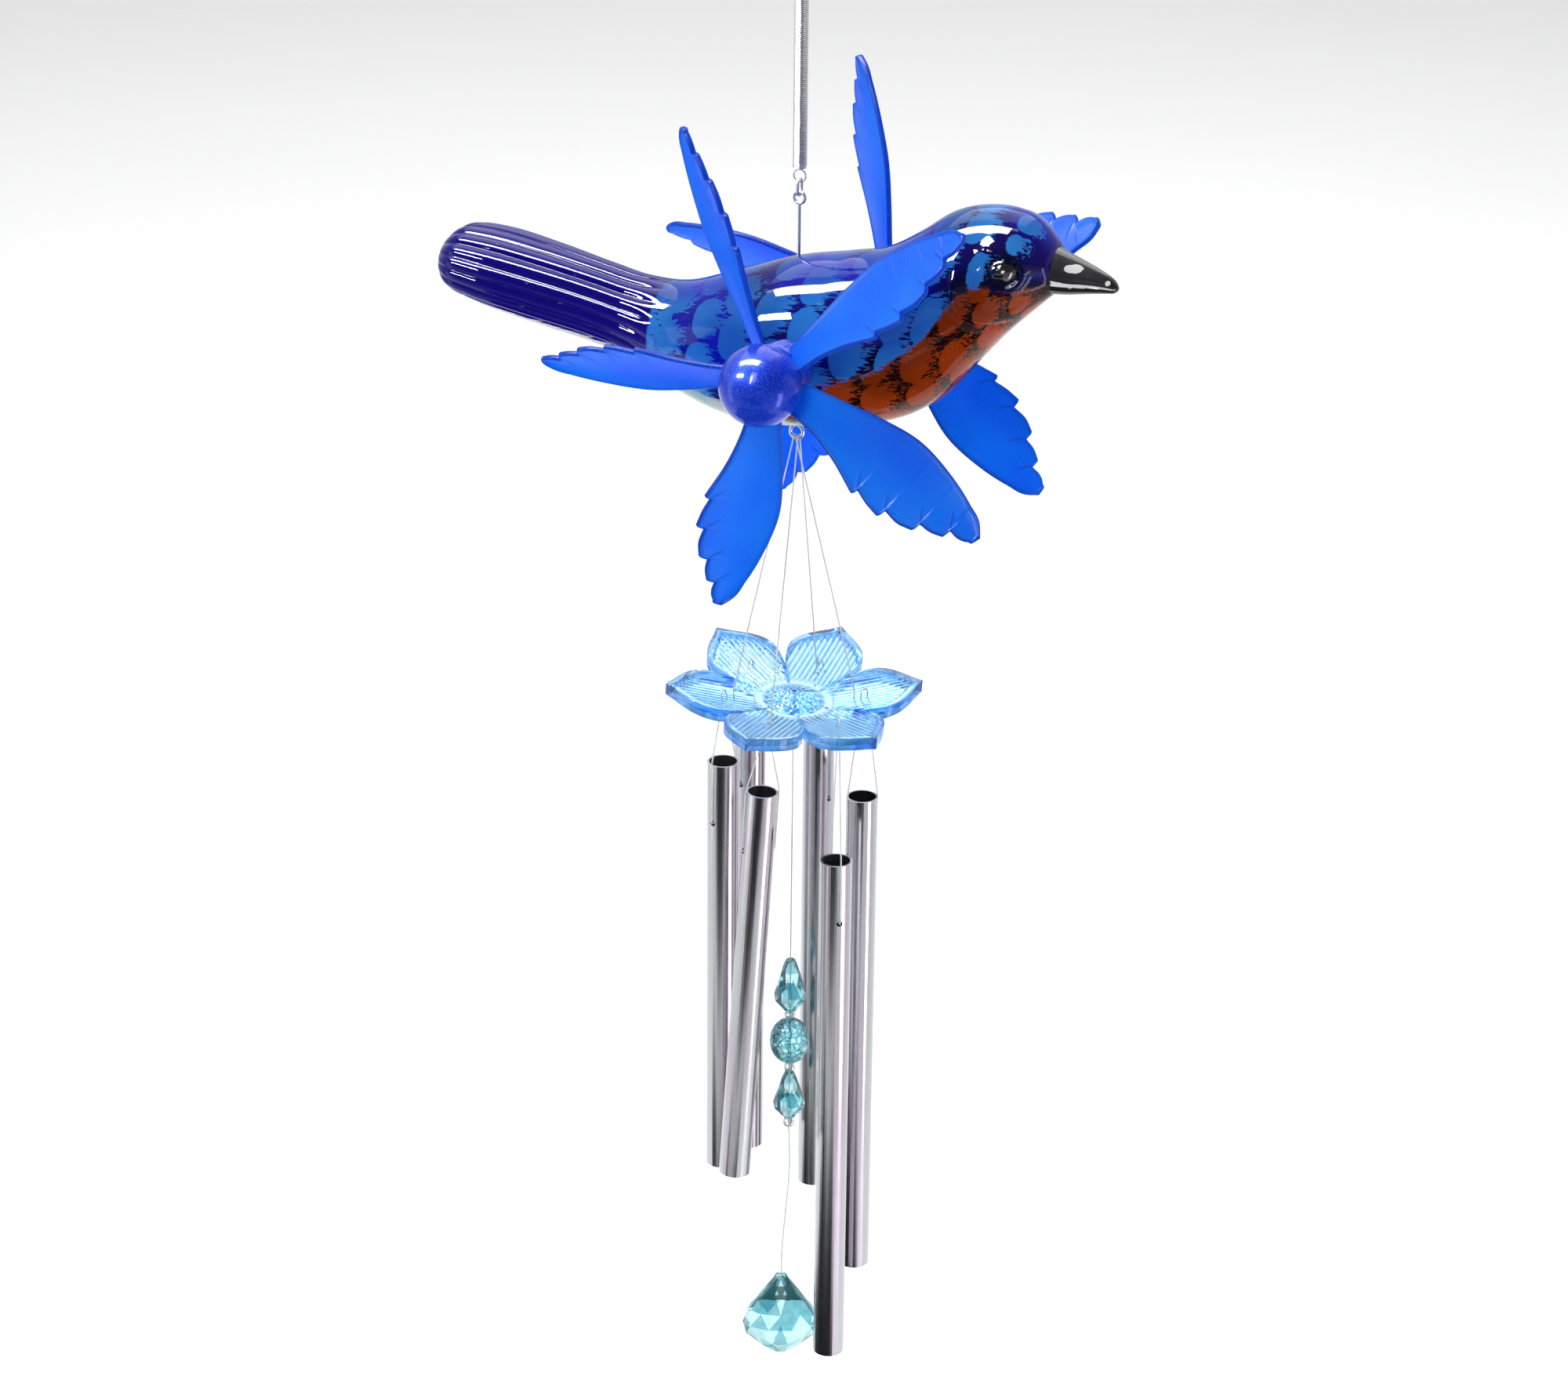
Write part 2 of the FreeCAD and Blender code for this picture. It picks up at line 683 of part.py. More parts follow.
string = doc.addObject("Part::Cylinder", "striker_cord")
bind(string, Radius="sizes.cord_dia / 2", Height="sizes.string_end - sizes.string_top - 15.6")
bind(string, Placement__Base__z="-sizes.string_end + 15.6")
keep(string, "striker_cord")

CATCHER_ROUTE = [(0, 0, -513.3), (0.9, 0.4, -530), (-1.0, -0.5, -556), (-2.2, -1.0, -573), (-2.3, -1.0, -587)]
cord("catcher_cord", [V(*point) for point in CATCHER_ROUTE], [None, None, None])

# Gem levels: below its top, half width, half depth.
GEM_LEVELS = [(0, 2.6, 1.8), (9, 9.0, 5.0), (23, 16.0, 8.0), (30, 13.0, 6.6), (38, 4.0, 2.0)]


def wind_gem():
    """Flat faceted drop, ten sides, with a blind hole for the end of the string."""
    sides = 10
    rings = []
    for down, wide, deep in GEM_LEVELS:
        corners = []
        for side in range(sides + 1):
            angle = 2 * math.pi * side / sides
            corners.append(V(wide * math.cos(angle), deep * math.sin(angle), -down))
        rings.append(Part.makePolygon(corners))
    gem = Part.makeLoft(rings, True, True)
    hole = Part.makeCylinder(size("bead_bore") / 2, 5, V(0, 0, -4))
    feature(
        "wind_gem", gem.cut(hole), V(-2.3, -1.0, -size("gem_top")), FreeCAD.Rotation(Z_AXIS, 24.4)
    )


wind_gem()

# ---------------------------------------------------------------- check and write

doc.recompute()
for item in doc.Objects:
    if "Invalid" in item.State or "Error" in item.State:
        raise RuntimeError("%s failed: %s" % (item.Label, item.State))
for piece in pieces:
    if piece.Shape.isNull() or not piece.Shape.isValid():
        raise RuntimeError(piece.Label + " has no valid shape")
os.makedirs("parts", exist_ok=True)
for piece in pieces:
    piece.Shape.exportStep("parts/%s.step" % piece.Label)
print("%d pieces written" % len(pieces))
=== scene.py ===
import json
import math

import bmesh
import bpy
import numpy as np
from mathutils import Matrix, Vector

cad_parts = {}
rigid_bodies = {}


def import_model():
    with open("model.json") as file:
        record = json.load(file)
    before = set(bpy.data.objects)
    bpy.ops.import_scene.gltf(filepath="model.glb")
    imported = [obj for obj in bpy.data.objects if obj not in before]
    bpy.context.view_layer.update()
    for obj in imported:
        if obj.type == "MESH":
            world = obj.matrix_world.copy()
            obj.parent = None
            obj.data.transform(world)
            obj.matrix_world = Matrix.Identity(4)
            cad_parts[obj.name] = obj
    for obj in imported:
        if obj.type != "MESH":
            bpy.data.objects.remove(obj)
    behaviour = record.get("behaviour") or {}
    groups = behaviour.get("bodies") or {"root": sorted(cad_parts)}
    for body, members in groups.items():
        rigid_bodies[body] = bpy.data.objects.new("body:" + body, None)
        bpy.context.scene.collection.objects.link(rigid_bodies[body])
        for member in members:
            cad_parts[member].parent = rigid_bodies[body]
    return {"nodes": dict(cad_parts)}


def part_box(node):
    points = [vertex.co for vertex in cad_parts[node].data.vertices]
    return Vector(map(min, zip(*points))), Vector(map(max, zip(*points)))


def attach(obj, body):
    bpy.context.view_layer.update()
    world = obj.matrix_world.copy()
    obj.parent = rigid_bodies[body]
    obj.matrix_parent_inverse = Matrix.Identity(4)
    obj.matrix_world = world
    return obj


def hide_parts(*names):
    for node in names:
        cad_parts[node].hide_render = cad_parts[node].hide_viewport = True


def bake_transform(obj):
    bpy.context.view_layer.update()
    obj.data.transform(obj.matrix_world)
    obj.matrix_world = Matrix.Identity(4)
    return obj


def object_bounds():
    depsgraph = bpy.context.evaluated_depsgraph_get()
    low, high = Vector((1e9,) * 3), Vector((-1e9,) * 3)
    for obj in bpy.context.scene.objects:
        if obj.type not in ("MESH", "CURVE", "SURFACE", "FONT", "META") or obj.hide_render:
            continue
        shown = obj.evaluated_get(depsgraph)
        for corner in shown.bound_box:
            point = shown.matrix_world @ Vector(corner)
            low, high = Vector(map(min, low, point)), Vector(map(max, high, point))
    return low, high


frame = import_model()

bl_info = {
    "name": "Bird whirligig",
    "version": (1, 0, 0),
    "blender": (4, 5, 0),
    "location": "View3D > Sidebar > Whirligig",
    "description": "Dresses the whirligig frame: painted bird, feather propellers, spring and wind chime",
    "category": "Object",
}

MM = 0.001
PREFIX = "whirligig_"
CAD_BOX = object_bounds()
AXLE = (Vector(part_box("axle")[0]) + Vector(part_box("axle")[1])) / 2
SIDES = {"right": -1, "left": 1}
TUBE_NUMBERS = range(1, 7)
BLADE_NUMBERS = range(1, 6)


# ---------------------------------------------------------------- mesh helpers

def join_faces(rows, cols, wrap_rows=False, wrap_cols=False):
    """Quads of a rows by cols grid as an index array; a wrap joins the last line to the first."""
    index = np.arange(rows * cols).reshape(rows, cols)
    if wrap_rows:
        index = np.vstack([index, index[:1]])
    if wrap_cols:
        index = np.hstack([index, index[:, :1]])
    return np.stack([index[:-1, :-1], index[1:, :-1], index[1:, 1:], index[:-1, 1:]], axis=-1).reshape(-1, 4)


def make_mesh(name, points, faces, marks=None):
    """Object from points in metres and quads, with float attributes per point; points that coincide are
    merged and the faces turned outwards."""
    mesh = bpy.data.meshes.new(name)
    mesh.from_pydata(points.reshape(-1, 3).tolist(), [], faces.tolist())
    for mark, values in (marks or {}).items():
        layer = mesh.attributes.new(mark, "FLOAT", "POINT")
        layer.data.foreach_set("value", np.ascontiguousarray(values, dtype=np.float32).ravel())
    tidy = bmesh.new()
    tidy.from_mesh(mesh)
    bmesh.ops.remove_doubles(tidy, verts=tidy.verts, dist=1e-7)
    bmesh.ops.dissolve_degenerate(tidy, edges=tidy.edges, dist=1e-8)
    bmesh.ops.recalc_face_normals(tidy, faces=tidy.faces)
    tidy.to_mesh(mesh)
    tidy.free()
    piece = bpy.data.objects.new(name, mesh)
    bpy.context.collection.objects.link(piece)
    return piece


def shade(piece, sharp_degrees=180):
    """Smooth shading, with edges sharper than the angle kept crisp."""
    piece.data.shade_smooth()
    if sharp_degrees < 180:
        piece.data.set_sharp_from_angle(angle=math.radians(sharp_degrees))


def place(piece, body, material, nodes=()):
    """The piece rides on a body, takes a slot and a finish, and stands for CAD nodes."""
    piece.data.materials.clear()
    piece.data.materials.append(material)
    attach(piece, body)
    if nodes:
        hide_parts(*nodes)
    return piece


def lathe(name, profile, origin, axis, steps=96):
    """A closed profile of (distance along the axis, radius) pairs in mm, carried once round the axis:
    point = origin + along * axis + radius * (cos a * side + sin a * up)."""
    axis = np.array(axis, float)
    side = np.array([0.0, 0.0, 1.0]) if abs(axis[2]) < 0.9 else np.array([1.0, 0.0, 0.0])
    up = np.cross(axis, side)
    turn = np.linspace(0, 2 * np.pi, steps, endpoint=False)[None, :, None]
    profile = np.array(profile, float)
    along = profile[:, 0][:, None, None]
    radius = profile[:, 1][:, None, None]
    points = np.array(origin) + MM * (along * axis + radius * (np.cos(turn) * side + np.sin(turn) * up))
    return make_mesh(name, points, join_faces(len(profile), steps, wrap_rows=True, wrap_cols=True))


def smooth_curve(at, knots, values):
    """Cubic Hermite curve through the knots, with the slopes of their neighbours."""
    knots = np.asarray(knots, float)
    values = np.asarray(values, float)
    slopes = np.gradient(values, knots)
    at = np.clip(at, knots[0], knots[-1])
    k = np.clip(np.searchsorted(knots, at) - 1, 0, len(knots) - 2)
    width = knots[k + 1] - knots[k]
    t = (at - knots[k]) / width
    return (
        (2 * t ** 3 - 3 * t ** 2 + 1) * values[k]
        + (t ** 3 - 2 * t ** 2 + t) * width * slopes[k]
        + (3 * t ** 2 - 2 * t ** 3) * values[k + 1]
        + (t ** 3 - t ** 2) * width * slopes[k + 1]
    )


def wire(name, path, radius, closed=False, around=12):
    """Round wire along an array of points in mm: a circle in the plane of the path's two normals, which are both
    found by crossing the tangent with one fixed helper direction."""
    path = np.asarray(path, float)
    if closed:
        tangent = np.roll(path, -1, axis=0) - np.roll(path, 1, axis=0)
    else:
        tangent = np.gradient(path, axis=0)
    tangent /= np.linalg.norm(tangent, axis=1)[:, None]
    helper = np.array([0.31, 0.83, 0.46])
    first = np.cross(tangent, helper)
    first /= np.linalg.norm(first, axis=1)[:, None]
    second = np.cross(tangent, first)
    turn = np.linspace(0, 2 * np.pi, around, endpoint=False)[None, :, None]
    points = path[:, None] + radius * (np.cos(turn) * first[:, None] + np.sin(turn) * second[:, None])
    if not closed:
        points = np.concatenate([np.broadcast_to(path[:1, None], points[:1].shape), points,
                                 np.broadcast_to(path[-1:, None], points[:1].shape)])
    faces = join_faces(len(points), around, wrap_rows=closed, wrap_cols=True)
    piece = make_mesh(name, points * MM, faces)
    shade(piece, 60)
    return piece


def near(values, middle, width):
    """A soft bump: 1 at the middle, falling away as a bell over the width."""
    return np.exp(-((values - middle) / width) ** 2)


def ramp(values, start, end):
    """0 before start, 1 after end, smooth between."""
    t = np.clip((values - start) / (end - start), 0, 1)
    return t * t * (3 - 2 * t)


# ---------------------------------------------------------------- materials

class Finish:
    """A node material being built: add() makes a node, link() joins two, and shader is its Principled."""

    def __init__(self, name):
        self.material = bpy.data.materials.new(PREFIX + name)
        self.material.use_nodes = True
        self.tree = self.material.node_tree
        self.shader = self.tree.nodes["Principled BSDF"]

    def add(self, kind, **settings):
        node = self.tree.nodes.new(kind)
        for key, value in settings.items():
            setattr(node, key, value)
        return node

    def link(self, source, target):
        self.tree.links.new(source, target)

    def set(self, **sockets):
        for name, value in sockets.items():
            self.shader.inputs[name.replace("_", " ")].default_value = value

    def objects(self, scale=(1, 1, 1), turn=(0, 0, 0)):
        """Object coordinates, scaled and turned."""
        place_node = self.add("ShaderNodeMapping")
        place_node.inputs["Scale"].default_value = scale
        place_node.inputs["Rotation"].default_value = turn
        self.link(self.add("ShaderNodeTexCoord").outputs["Object"], place_node.inputs["Vector"])
        return place_node.outputs["Vector"]

    def noise(self, vector, scale=1.0, detail=3.0, roughness=0.5):
        node = self.add("ShaderNodeTexNoise")
        node.inputs["Scale"].default_value = scale
        node.inputs["Detail"].default_value = detail
        node.inputs["Roughness"].default_value = roughness
        self.link(vector, node.inputs["Vector"])
        return node.outputs["Fac"]

    def mark(self, name):
        return self.add("ShaderNodeAttribute", attribute_name=name).outputs["Fac"]

    def math(self, operation, first, second=0.0, third=0.0):
        node = self.add("ShaderNodeMath", operation=operation)
        for socket, value in zip(node.inputs, (first, second, third)):
            if isinstance(value, (int, float)):
                socket.default_value = value
            else:
                self.link(value, socket)
        return node.outputs["Value"]

    def step(self, value, low, high):
        """0 below low, 1 above high, smooth between."""
        node = self.add("ShaderNodeMapRange", interpolation_type="SMOOTHSTEP")
        self.link(value, node.inputs["Value"])
        node.inputs["From Min"].default_value = low
        node.inputs["From Max"].default_value = high
        return node.outputs["Result"]

    def mix(self, share, first, second):
        node = self.add("ShaderNodeMix", data_type="RGBA")
        for socket, value in zip((node.inputs[0], node.inputs[6], node.inputs[7]), (share, first, second)):
            if isinstance(value, (int, float, tuple)):
                socket.default_value = value
            else:
                self.link(value, socket)
        return node.outputs[2]

    def bump(self, height, distance, strength=1.0):
        node = self.add("ShaderNodeBump")
        node.inputs["Distance"].default_value = distance
        node.inputs["Strength"].default_value = strength
        self.link(height, node.inputs["Height"])
        self.link(node.outputs["Normal"], self.shader.inputs["Normal"])


def rgb(red, green, blue):
    return (red, green, blue, 1.0)


def glitter(finish, grain, rarity):
    """Sparse bright flakes: cells of the grain's size, one in a few lit by its own random number."""
    cells = finish.add("ShaderNodeTexVoronoi", feature="F1")
    cells.inputs["Scale"].default_value = grain
    finish.link(finish.objects(), cells.inputs["Vector"])
    lit = finish.add("ShaderNodeSeparateColor")
    finish.link(cells.outputs["Color"], lit.inputs["Color"])
    chosen = finish.step(lit.outputs["Red"], rarity, rarity + 0.02)
    core = finish.step(cells.outputs["Distance"], 0.42, 0.25)
    return finish.math("MULTIPLY", chosen, core)


def paint_finish(sizes):
    """Gloss enamel: dark ground, brushed scallop patches whose beak-side ends break into streaks, warm
    breast, pale belly, ribbed navy tail."""
    finish = Finish("bird_enamel")
    streaks = finish.noise(finish.objects((95, 1150, 1150), (0, 0.10, 0)), 1.0, 2.5, 0.6)
    clouds = finish.noise(finish.objects((28, 28, 28)), 1.0, 2.0)
    wobble = finish.math("SUBTRACT", streaks, 0.5)
    ragged = finish.mark("ragged")
    torn = finish.math("MULTIPLY", wobble, finish.math("MULTIPLY_ADD", ragged, 5.0, 0.45))
    field = finish.math("ADD", finish.math("MULTIPLY_ADD", ragged, -0.22, finish.mark("patch")), torn)
    patch = finish.step(field, -0.06, 0.08)
    breast = finish.step(finish.math("MULTIPLY_ADD", wobble, 1.6, finish.mark("breast")), 0.40, 0.60)
    belly = finish.step(finish.math("MULTIPLY_ADD", wobble, 1.8, finish.mark("belly")), 0.35, 0.65)
    tail = finish.step(finish.math("MULTIPLY_ADD", wobble, 0.9, finish.mark("tail")), 0.42, 0.58)
    cloudy = finish.step(clouds, 0.35, 0.65)
    ground = finish.mix(cloudy, rgb(*sizes.back_blue), rgb(*sizes.back_violet))
    # painted shade round the eye and before the beak, and a dark band above the breast: the ground goes almost black
    # where the shadow mark is
    ground = finish.mix(finish.mark("shadow"), ground, rgb(0.002, 0.002, 0.014))
    light = finish.mix(finish.step(clouds, 0.3, 0.7), rgb(*sizes.patch_blue), rgb(*sizes.patch_light))
    light = finish.mix(finish.math("MULTIPLY", finish.mark("crown"), 0.65), light, ground)
    blue = finish.mix(patch, ground, light)
    blue = finish.mix(tail, blue, rgb(*sizes.tail_navy))
    embers = finish.mix(finish.step(streaks, 0.45, 0.75), rgb(0.008, 0.003, 0.003), rgb(0.10, 0.014, 0.005))
    orange = finish.mix(cloudy, rgb(*sizes.breast_orange), rgb(*(0.6 * part for part in sizes.breast_orange)))
    colour = finish.mix(breast, blue, finish.mix(patch, embers, orange))
    pale = finish.mix(finish.step(clouds, 0.4, 0.7), rgb(0.52, 0.49, 0.48), rgb(0.22, 0.40, 0.42))
    colour = finish.mix(belly, colour, pale)
    finish.link(colour, finish.shader.inputs["Base Color"])
    finish.set(
        Roughness=0.45, Specular_IOR_Level=0.0, Coat_Weight=1.0, Coat_Roughness=0.02, Coat_IOR=1.24
    )
    finish.bump(streaks, 0.00005, 0.2)
    return finish.material


def beak_finish():
    """Black gloss enamel with a white line along the gape and pale nostrils."""
    finish = Finish("beak_enamel")
    grain = finish.noise(finish.objects((420, 420, 420)), 1.0, 4.0)
    edge = finish.math("MULTIPLY_ADD", finish.math("SUBTRACT", grain, 0.5), 0.5, finish.mark("white"))
    black = finish.mix(grain, rgb(0.002, 0.002, 0.003), rgb(0.012, 0.011, 0.014))
    colour = finish.mix(finish.step(edge, 0.45, 0.55), black, rgb(0.72, 0.73, 0.70))
    finish.link(colour, finish.shader.inputs["Base Color"])
    finish.set(Roughness=0.4, Specular_IOR_Level=0.1, Coat_Weight=1.0, Coat_Roughness=0.015)
    finish.bump(finish.noise(finish.objects((160, 160, 160)), 1.0, 1.0), 0.0003, 0.4)
    return finish.material


def eye_finish():
    finish = Finish("eye_enamel")
    grain = finish.noise(finish.objects((300, 300, 300)), 1.0, 2.0)
    black = finish.mix(grain, rgb(0.001, 0.001, 0.002), rgb(0.01, 0.008, 0.012))
    # painted highlight: the white mark turns the eye white at its glint
    colour = finish.mix(finish.mark("white"), black, rgb(0.9, 0.9, 0.9))
    finish.link(colour, finish.shader.inputs["Base Color"])
    finish.set(Roughness=0.08, Coat_Weight=1.0, Coat_Roughness=0.01)
    return finish.material


def blade_finish(sizes):
    """Blue plastic that lets some light through, with fine flakes and a darker moulded rim."""
    finish = Finish("blade_plastic")
    flakes = glitter(finish, 1500, 0.86)
    clouds = finish.noise(finish.objects((22, 22, 22)), 1.0, 2.0)
    colour = finish.mix(finish.step(clouds, 0.3, 0.7), rgb(*sizes.blade_blue), rgb(*sizes.blade_light))
    colour = finish.mix(finish.math("MULTIPLY", finish.mark("rim"), 0.75), colour, rgb(0.002, 0.040, 0.46))
    colour = finish.mix(finish.math("MULTIPLY", flakes, 0.55), colour, rgb(0.08, 0.32, 1.0))
    finish.link(colour, finish.shader.inputs["Base Color"])
    finish.set(Roughness=0.36, Specular_IOR_Level=0.16, Coat_Weight=0.2, Coat_Roughness=0.06, Coat_IOR=1.3)
    finish.bump(finish.noise(finish.objects((500, 500, 500)), 1.0, 2.0), 0.00005, 0.4)
    through = finish.add("ShaderNodeBsdfTranslucent")
    finish.link(colour, through.inputs["Color"])
    blend = finish.add("ShaderNodeMixShader")
    blend.inputs["Fac"].default_value = 0.5
    finish.link(finish.shader.outputs["BSDF"], blend.inputs[1])
    finish.link(through.outputs["BSDF"], blend.inputs[2])
    finish.link(blend.outputs["Shader"], finish.tree.nodes["Material Output"].inputs["Surface"])
    return finish.material


def hub_finish(sizes):
    """Deep blue pearl with dense fine glitter."""
    finish = Finish("hub_pearl")
    flakes = glitter(finish, 2300, 0.62)
    clouds = finish.noise(finish.objects((60, 60, 60)), 1.0, 2.0)
    ground = finish.mix(clouds, rgb(0.003, 0.016, 0.40), rgb(*sizes.hub_blue))
    colour = finish.mix(finish.math("MULTIPLY", flakes, 0.7), ground, rgb(0.06, 0.18, 0.85))
    finish.link(colour, finish.shader.inputs["Base Color"])
    finish.set(Roughness=0.34, Metallic=0.15, Specular_IOR_Level=0.05)
    finish.set(Coat_Weight=0.8, Coat_Roughness=0.1, Coat_IOR=1.3)
    finish.bump(flakes, 0.0001, 0.4)
    return finish.material


def clear_finish(name, tint, deep, roughness=0.02, grain=300, relief=0.00005, bend=1.33):
    """Clear moulded acrylic, pale in its flats and deep where the mark says, with the slight ripple of its mould.
    The deep mark is painted shade and painted dark reflection in grooves, at rims and on facets."""
    finish = Finish(name)
    ripple = finish.noise(finish.objects((grain, grain, grain)), 1.0, 2.0)
    share = finish.math("MULTIPLY_ADD", finish.math("SUBTRACT", ripple, 0.5), 0.5, finish.mark("deep"))
    finish.link(finish.mix(finish.step(share, 0.0, 1.0), rgb(*tint), rgb(*deep)), finish.shader.inputs["Base Color"])
    finish.set(Transmission_Weight=0.9, IOR=bend, Roughness=roughness)
    finish.bump(ripple, relief, 0.35)
    return finish.material


def crackle_finish(tint, deep):
    """Acrylic ball crazed inside: cells whose walls are deep and whose faces are pale."""
    finish = Finish("crackle_acrylic")
    cells = finish.add("ShaderNodeTexVoronoi", feature="DISTANCE_TO_EDGE")
    cells.inputs["Scale"].default_value = 340
    finish.link(finish.objects(), cells.inputs["Vector"])
    ripple = finish.noise(finish.objects((420, 420, 420)), 1.0, 3.0)
    wall = finish.math("MAXIMUM", finish.step(cells.outputs["Distance"], 0.16, 0.02), finish.step(ripple, 0.5, 0.72))
    finish.link(finish.mix(wall, rgb(*tint), rgb(*deep)), finish.shader.inputs["Base Color"])
    finish.set(Transmission_Weight=0.93, IOR=1.33, Roughness=0.03)
    finish.bump(wall, 0.0003, 0.6)
    return finish.material


def tube_finish(sizes):
    """Drawn bright aluminium: lengthwise draw lines and a faint anodised play of pink and green."""
    finish = Finish("tube_anodised")
    lines = finish.noise(finish.objects((1800, 1800, 9)), 1.0, 3.0, 0.6)
    bands = finish.noise(finish.objects((170, 170, 3)), 1.0, 1.0)
    specks = glitter(finish, 1700, 0.9)
    cool = finish.mix(finish.step(bands, 0.42, 0.6), rgb(*sizes.tube_pink), rgb(*sizes.tube_green))
    colour = finish.mix(finish.step(lines, 0.25, 0.75), cool, rgb(0.52, 0.50, 0.53))
    colour = finish.mix(finish.math("MULTIPLY", specks, 0.5), colour, rgb(0.95, 0.93, 0.96))
    finish.link(colour, finish.shader.inputs["Base Color"])
    wear = finish.add("ShaderNodeMapRange")
    finish.link(lines, wear.inputs["Value"])
    wear.inputs["To Min"].default_value = 0.12
    wear.inputs["To Max"].default_value = 0.22
    finish.link(wear.outputs["Result"], finish.shader.inputs["Roughness"])
    finish.set(Metallic=1.0)
    finish.bump(lines, 0.00002, 0.5)
    return finish.material


def steel_finish():
    """Plated spring wire with faint draw marks."""
    finish = Finish("plated_wire")
    marks = finish.noise(finish.objects((900, 900, 900)), 1.0, 3.0)
    finish.link(finish.mix(marks, rgb(0.55, 0.54, 0.53), rgb(0.74, 0.73, 0.71)), finish.shader.inputs["Base Color"])
    finish.set(Metallic=1.0, Roughness=0.2)
    finish.bump(marks, 0.00003, 0.4)
    return finish.material


def bearing_finish():
    finish = Finish("bearing_plastic")
    grain = finish.noise(finish.objects((700, 700, 700)), 1.0, 3.0)
    finish.link(finish.mix(grain, rgb(0.66, 0.66, 0.63), rgb(0.78, 0.78, 0.75)), finish.shader.inputs["Base Color"])
    finish.set(Roughness=0.45)
    finish.bump(grain, 0.00004, 0.4)
    return finish.material


def nylon_finish():
    """Clear monofilament, seen as a fine pale line."""
    finish = Finish("nylon_line")
    grain = finish.noise(finish.objects((350, 350, 350)), 1.0, 2.0)
    finish.link(finish.mix(grain, rgb(0.70, 0.71, 0.72), rgb(0.84, 0.85, 0.86)), finish.shader.inputs["Base Color"])
    finish.set(Roughness=0.25, Transmission_Weight=0.25, IOR=1.4)
    return finish.material


def finish_named(name, maker, *given):
    """The material of that name, made once."""
    return bpy.data.materials.get(PREFIX + name) or maker(*given)


# ---------------------------------------------------------------- sizes and colours a user may change

def colour_property(name, description, default):
    return bpy.props.FloatVectorProperty(
        name=name, description=description, subtype="COLOR", size=3, min=0, max=1, default=default
    )


class BirdSettings(bpy.types.PropertyGroup):
    """Paint and relief of the bird."""
    back_blue: colour_property("Back blue", "Ground colour of back and head", (0.003, 0.005, 0.33))
    back_violet: colour_property("Back violet", "Violet tinge in the ground colour", (0.008, 0.004, 0.10))
    patch_blue: colour_property("Patch blue", "Brushed feather patches", (0.010, 0.095, 0.40))
    patch_light: colour_property("Patch light", "Lighter brushed feather patches", (0.026, 0.19, 0.53))
    tail_navy: colour_property("Tail navy", "Ribbed tail", (0.005, 0.002, 0.17))
    breast_orange: colour_property("Breast orange", "Brushed breast patches", (0.29, 0.036, 0.004))
    rib_height: bpy.props.FloatProperty(
        name="Rib height", description="Height of the tail ribs", default=0.0014, unit="LENGTH", min=0
    )


class PropellerSettings(bpy.types.PropertyGroup):
    """Finish and edge of the feather propellers."""
    blade_blue: colour_property("Blade blue", "Plastic of the blades", (0.002, 0.20, 0.97))
    blade_light: colour_property("Blade light", "Lighter streaks in the plastic", (0.005, 0.30, 1.0))
    hub_blue: colour_property("Hub blue", "Pearl of the ball hubs", (0.006, 0.052, 0.60))
    rim: bpy.props.FloatProperty(
        name="Rim", description="Height of the rim round a blade", default=0.00035, unit="LENGTH", min=0
    )


class ChimeSettings(bpy.types.PropertyGroup):
    """Finish of the flower, tubes and beads."""
    flower_tint: colour_property("Flower tint", "Clear blue of the flower", (0.50, 0.82, 0.99))
    flower_deep: colour_property("Flower depth", "Blue of the flower's rims and grooves", (0.015, 0.24, 0.80))
    bead_tint: colour_property("Bead tint", "Clear aqua of beads and gem", (0.60, 0.92, 0.95))
    bead_deep: colour_property("Bead depth", "Aqua in the dark facets", (0.015, 0.27, 0.36))
    tube_pink: colour_property("Tube pink", "Warm side of the anodising", (0.44, 0.36, 0.46))
    tube_green: colour_property("Tube green", "Cool side of the anodising", (0.46, 0.52, 0.53))
    rib_spacing: bpy.props.FloatProperty(
        name="Rib spacing", description="Distance between petal ribs", default=0.0021, unit="LENGTH", min=0.0005
    )


# ---------------------------------------------------------------- hook, spring, link and hanger wire

def ring_path(centre, radius, first, second, start=0.0, end=360.0, steps=64):
    """Arc of a circle in the plane of two directions, in mm."""
    turn = np.radians(np.linspace(start, end, steps, endpoint=end - start < 360))[:, None]
    return np.array(centre) + radius * (np.cos(turn) * np.array(first) + np.sin(turn) * np.array(second))


def box_middle(node):
    low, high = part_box(node)
    return (np.array(low) + np.array(high)) / 2 / MM, (np.array(high) - np.array(low)) / MM


class WHIRLIGIG_OT_hanging_hook(bpy.types.Operator):
    """S-hook: two arcs of wire, one above the other, opening opposite ways"""
    bl_idname = "whirligig.hanging_hook"
    bl_label = "Hanging hook"

    def execute(self, context):
        middle, extent = box_middle("hanging_hook")
        radius = extent[1] / 2
        top = middle[2] + extent[2] / 2
        widest_bow = 7.0
        bow = min(extent[0] / 2 - radius, widest_bow)
        foot = (extent[2] - 2 * bow - 2 * radius) / 2
        bow_centre = (0, 0, top - radius - bow)
        foot_centre = (0, 0, top - radius - 2 * bow - foot)
        upper = ring_path(bow_centre, bow, (1, 0, 0), (0, 0, 1), 165, -90, 60)
        lower = ring_path(foot_centre, foot, (1, 0, 0), (0, 0, 1), 90, 360, 50)
        piece = wire("s_hook", np.vstack([upper, lower[1:]]), radius, around=20)
        place(piece, "hanger", finish_named("plated_wire", steel_finish), ["hanging_hook"])
        return {"FINISHED"}


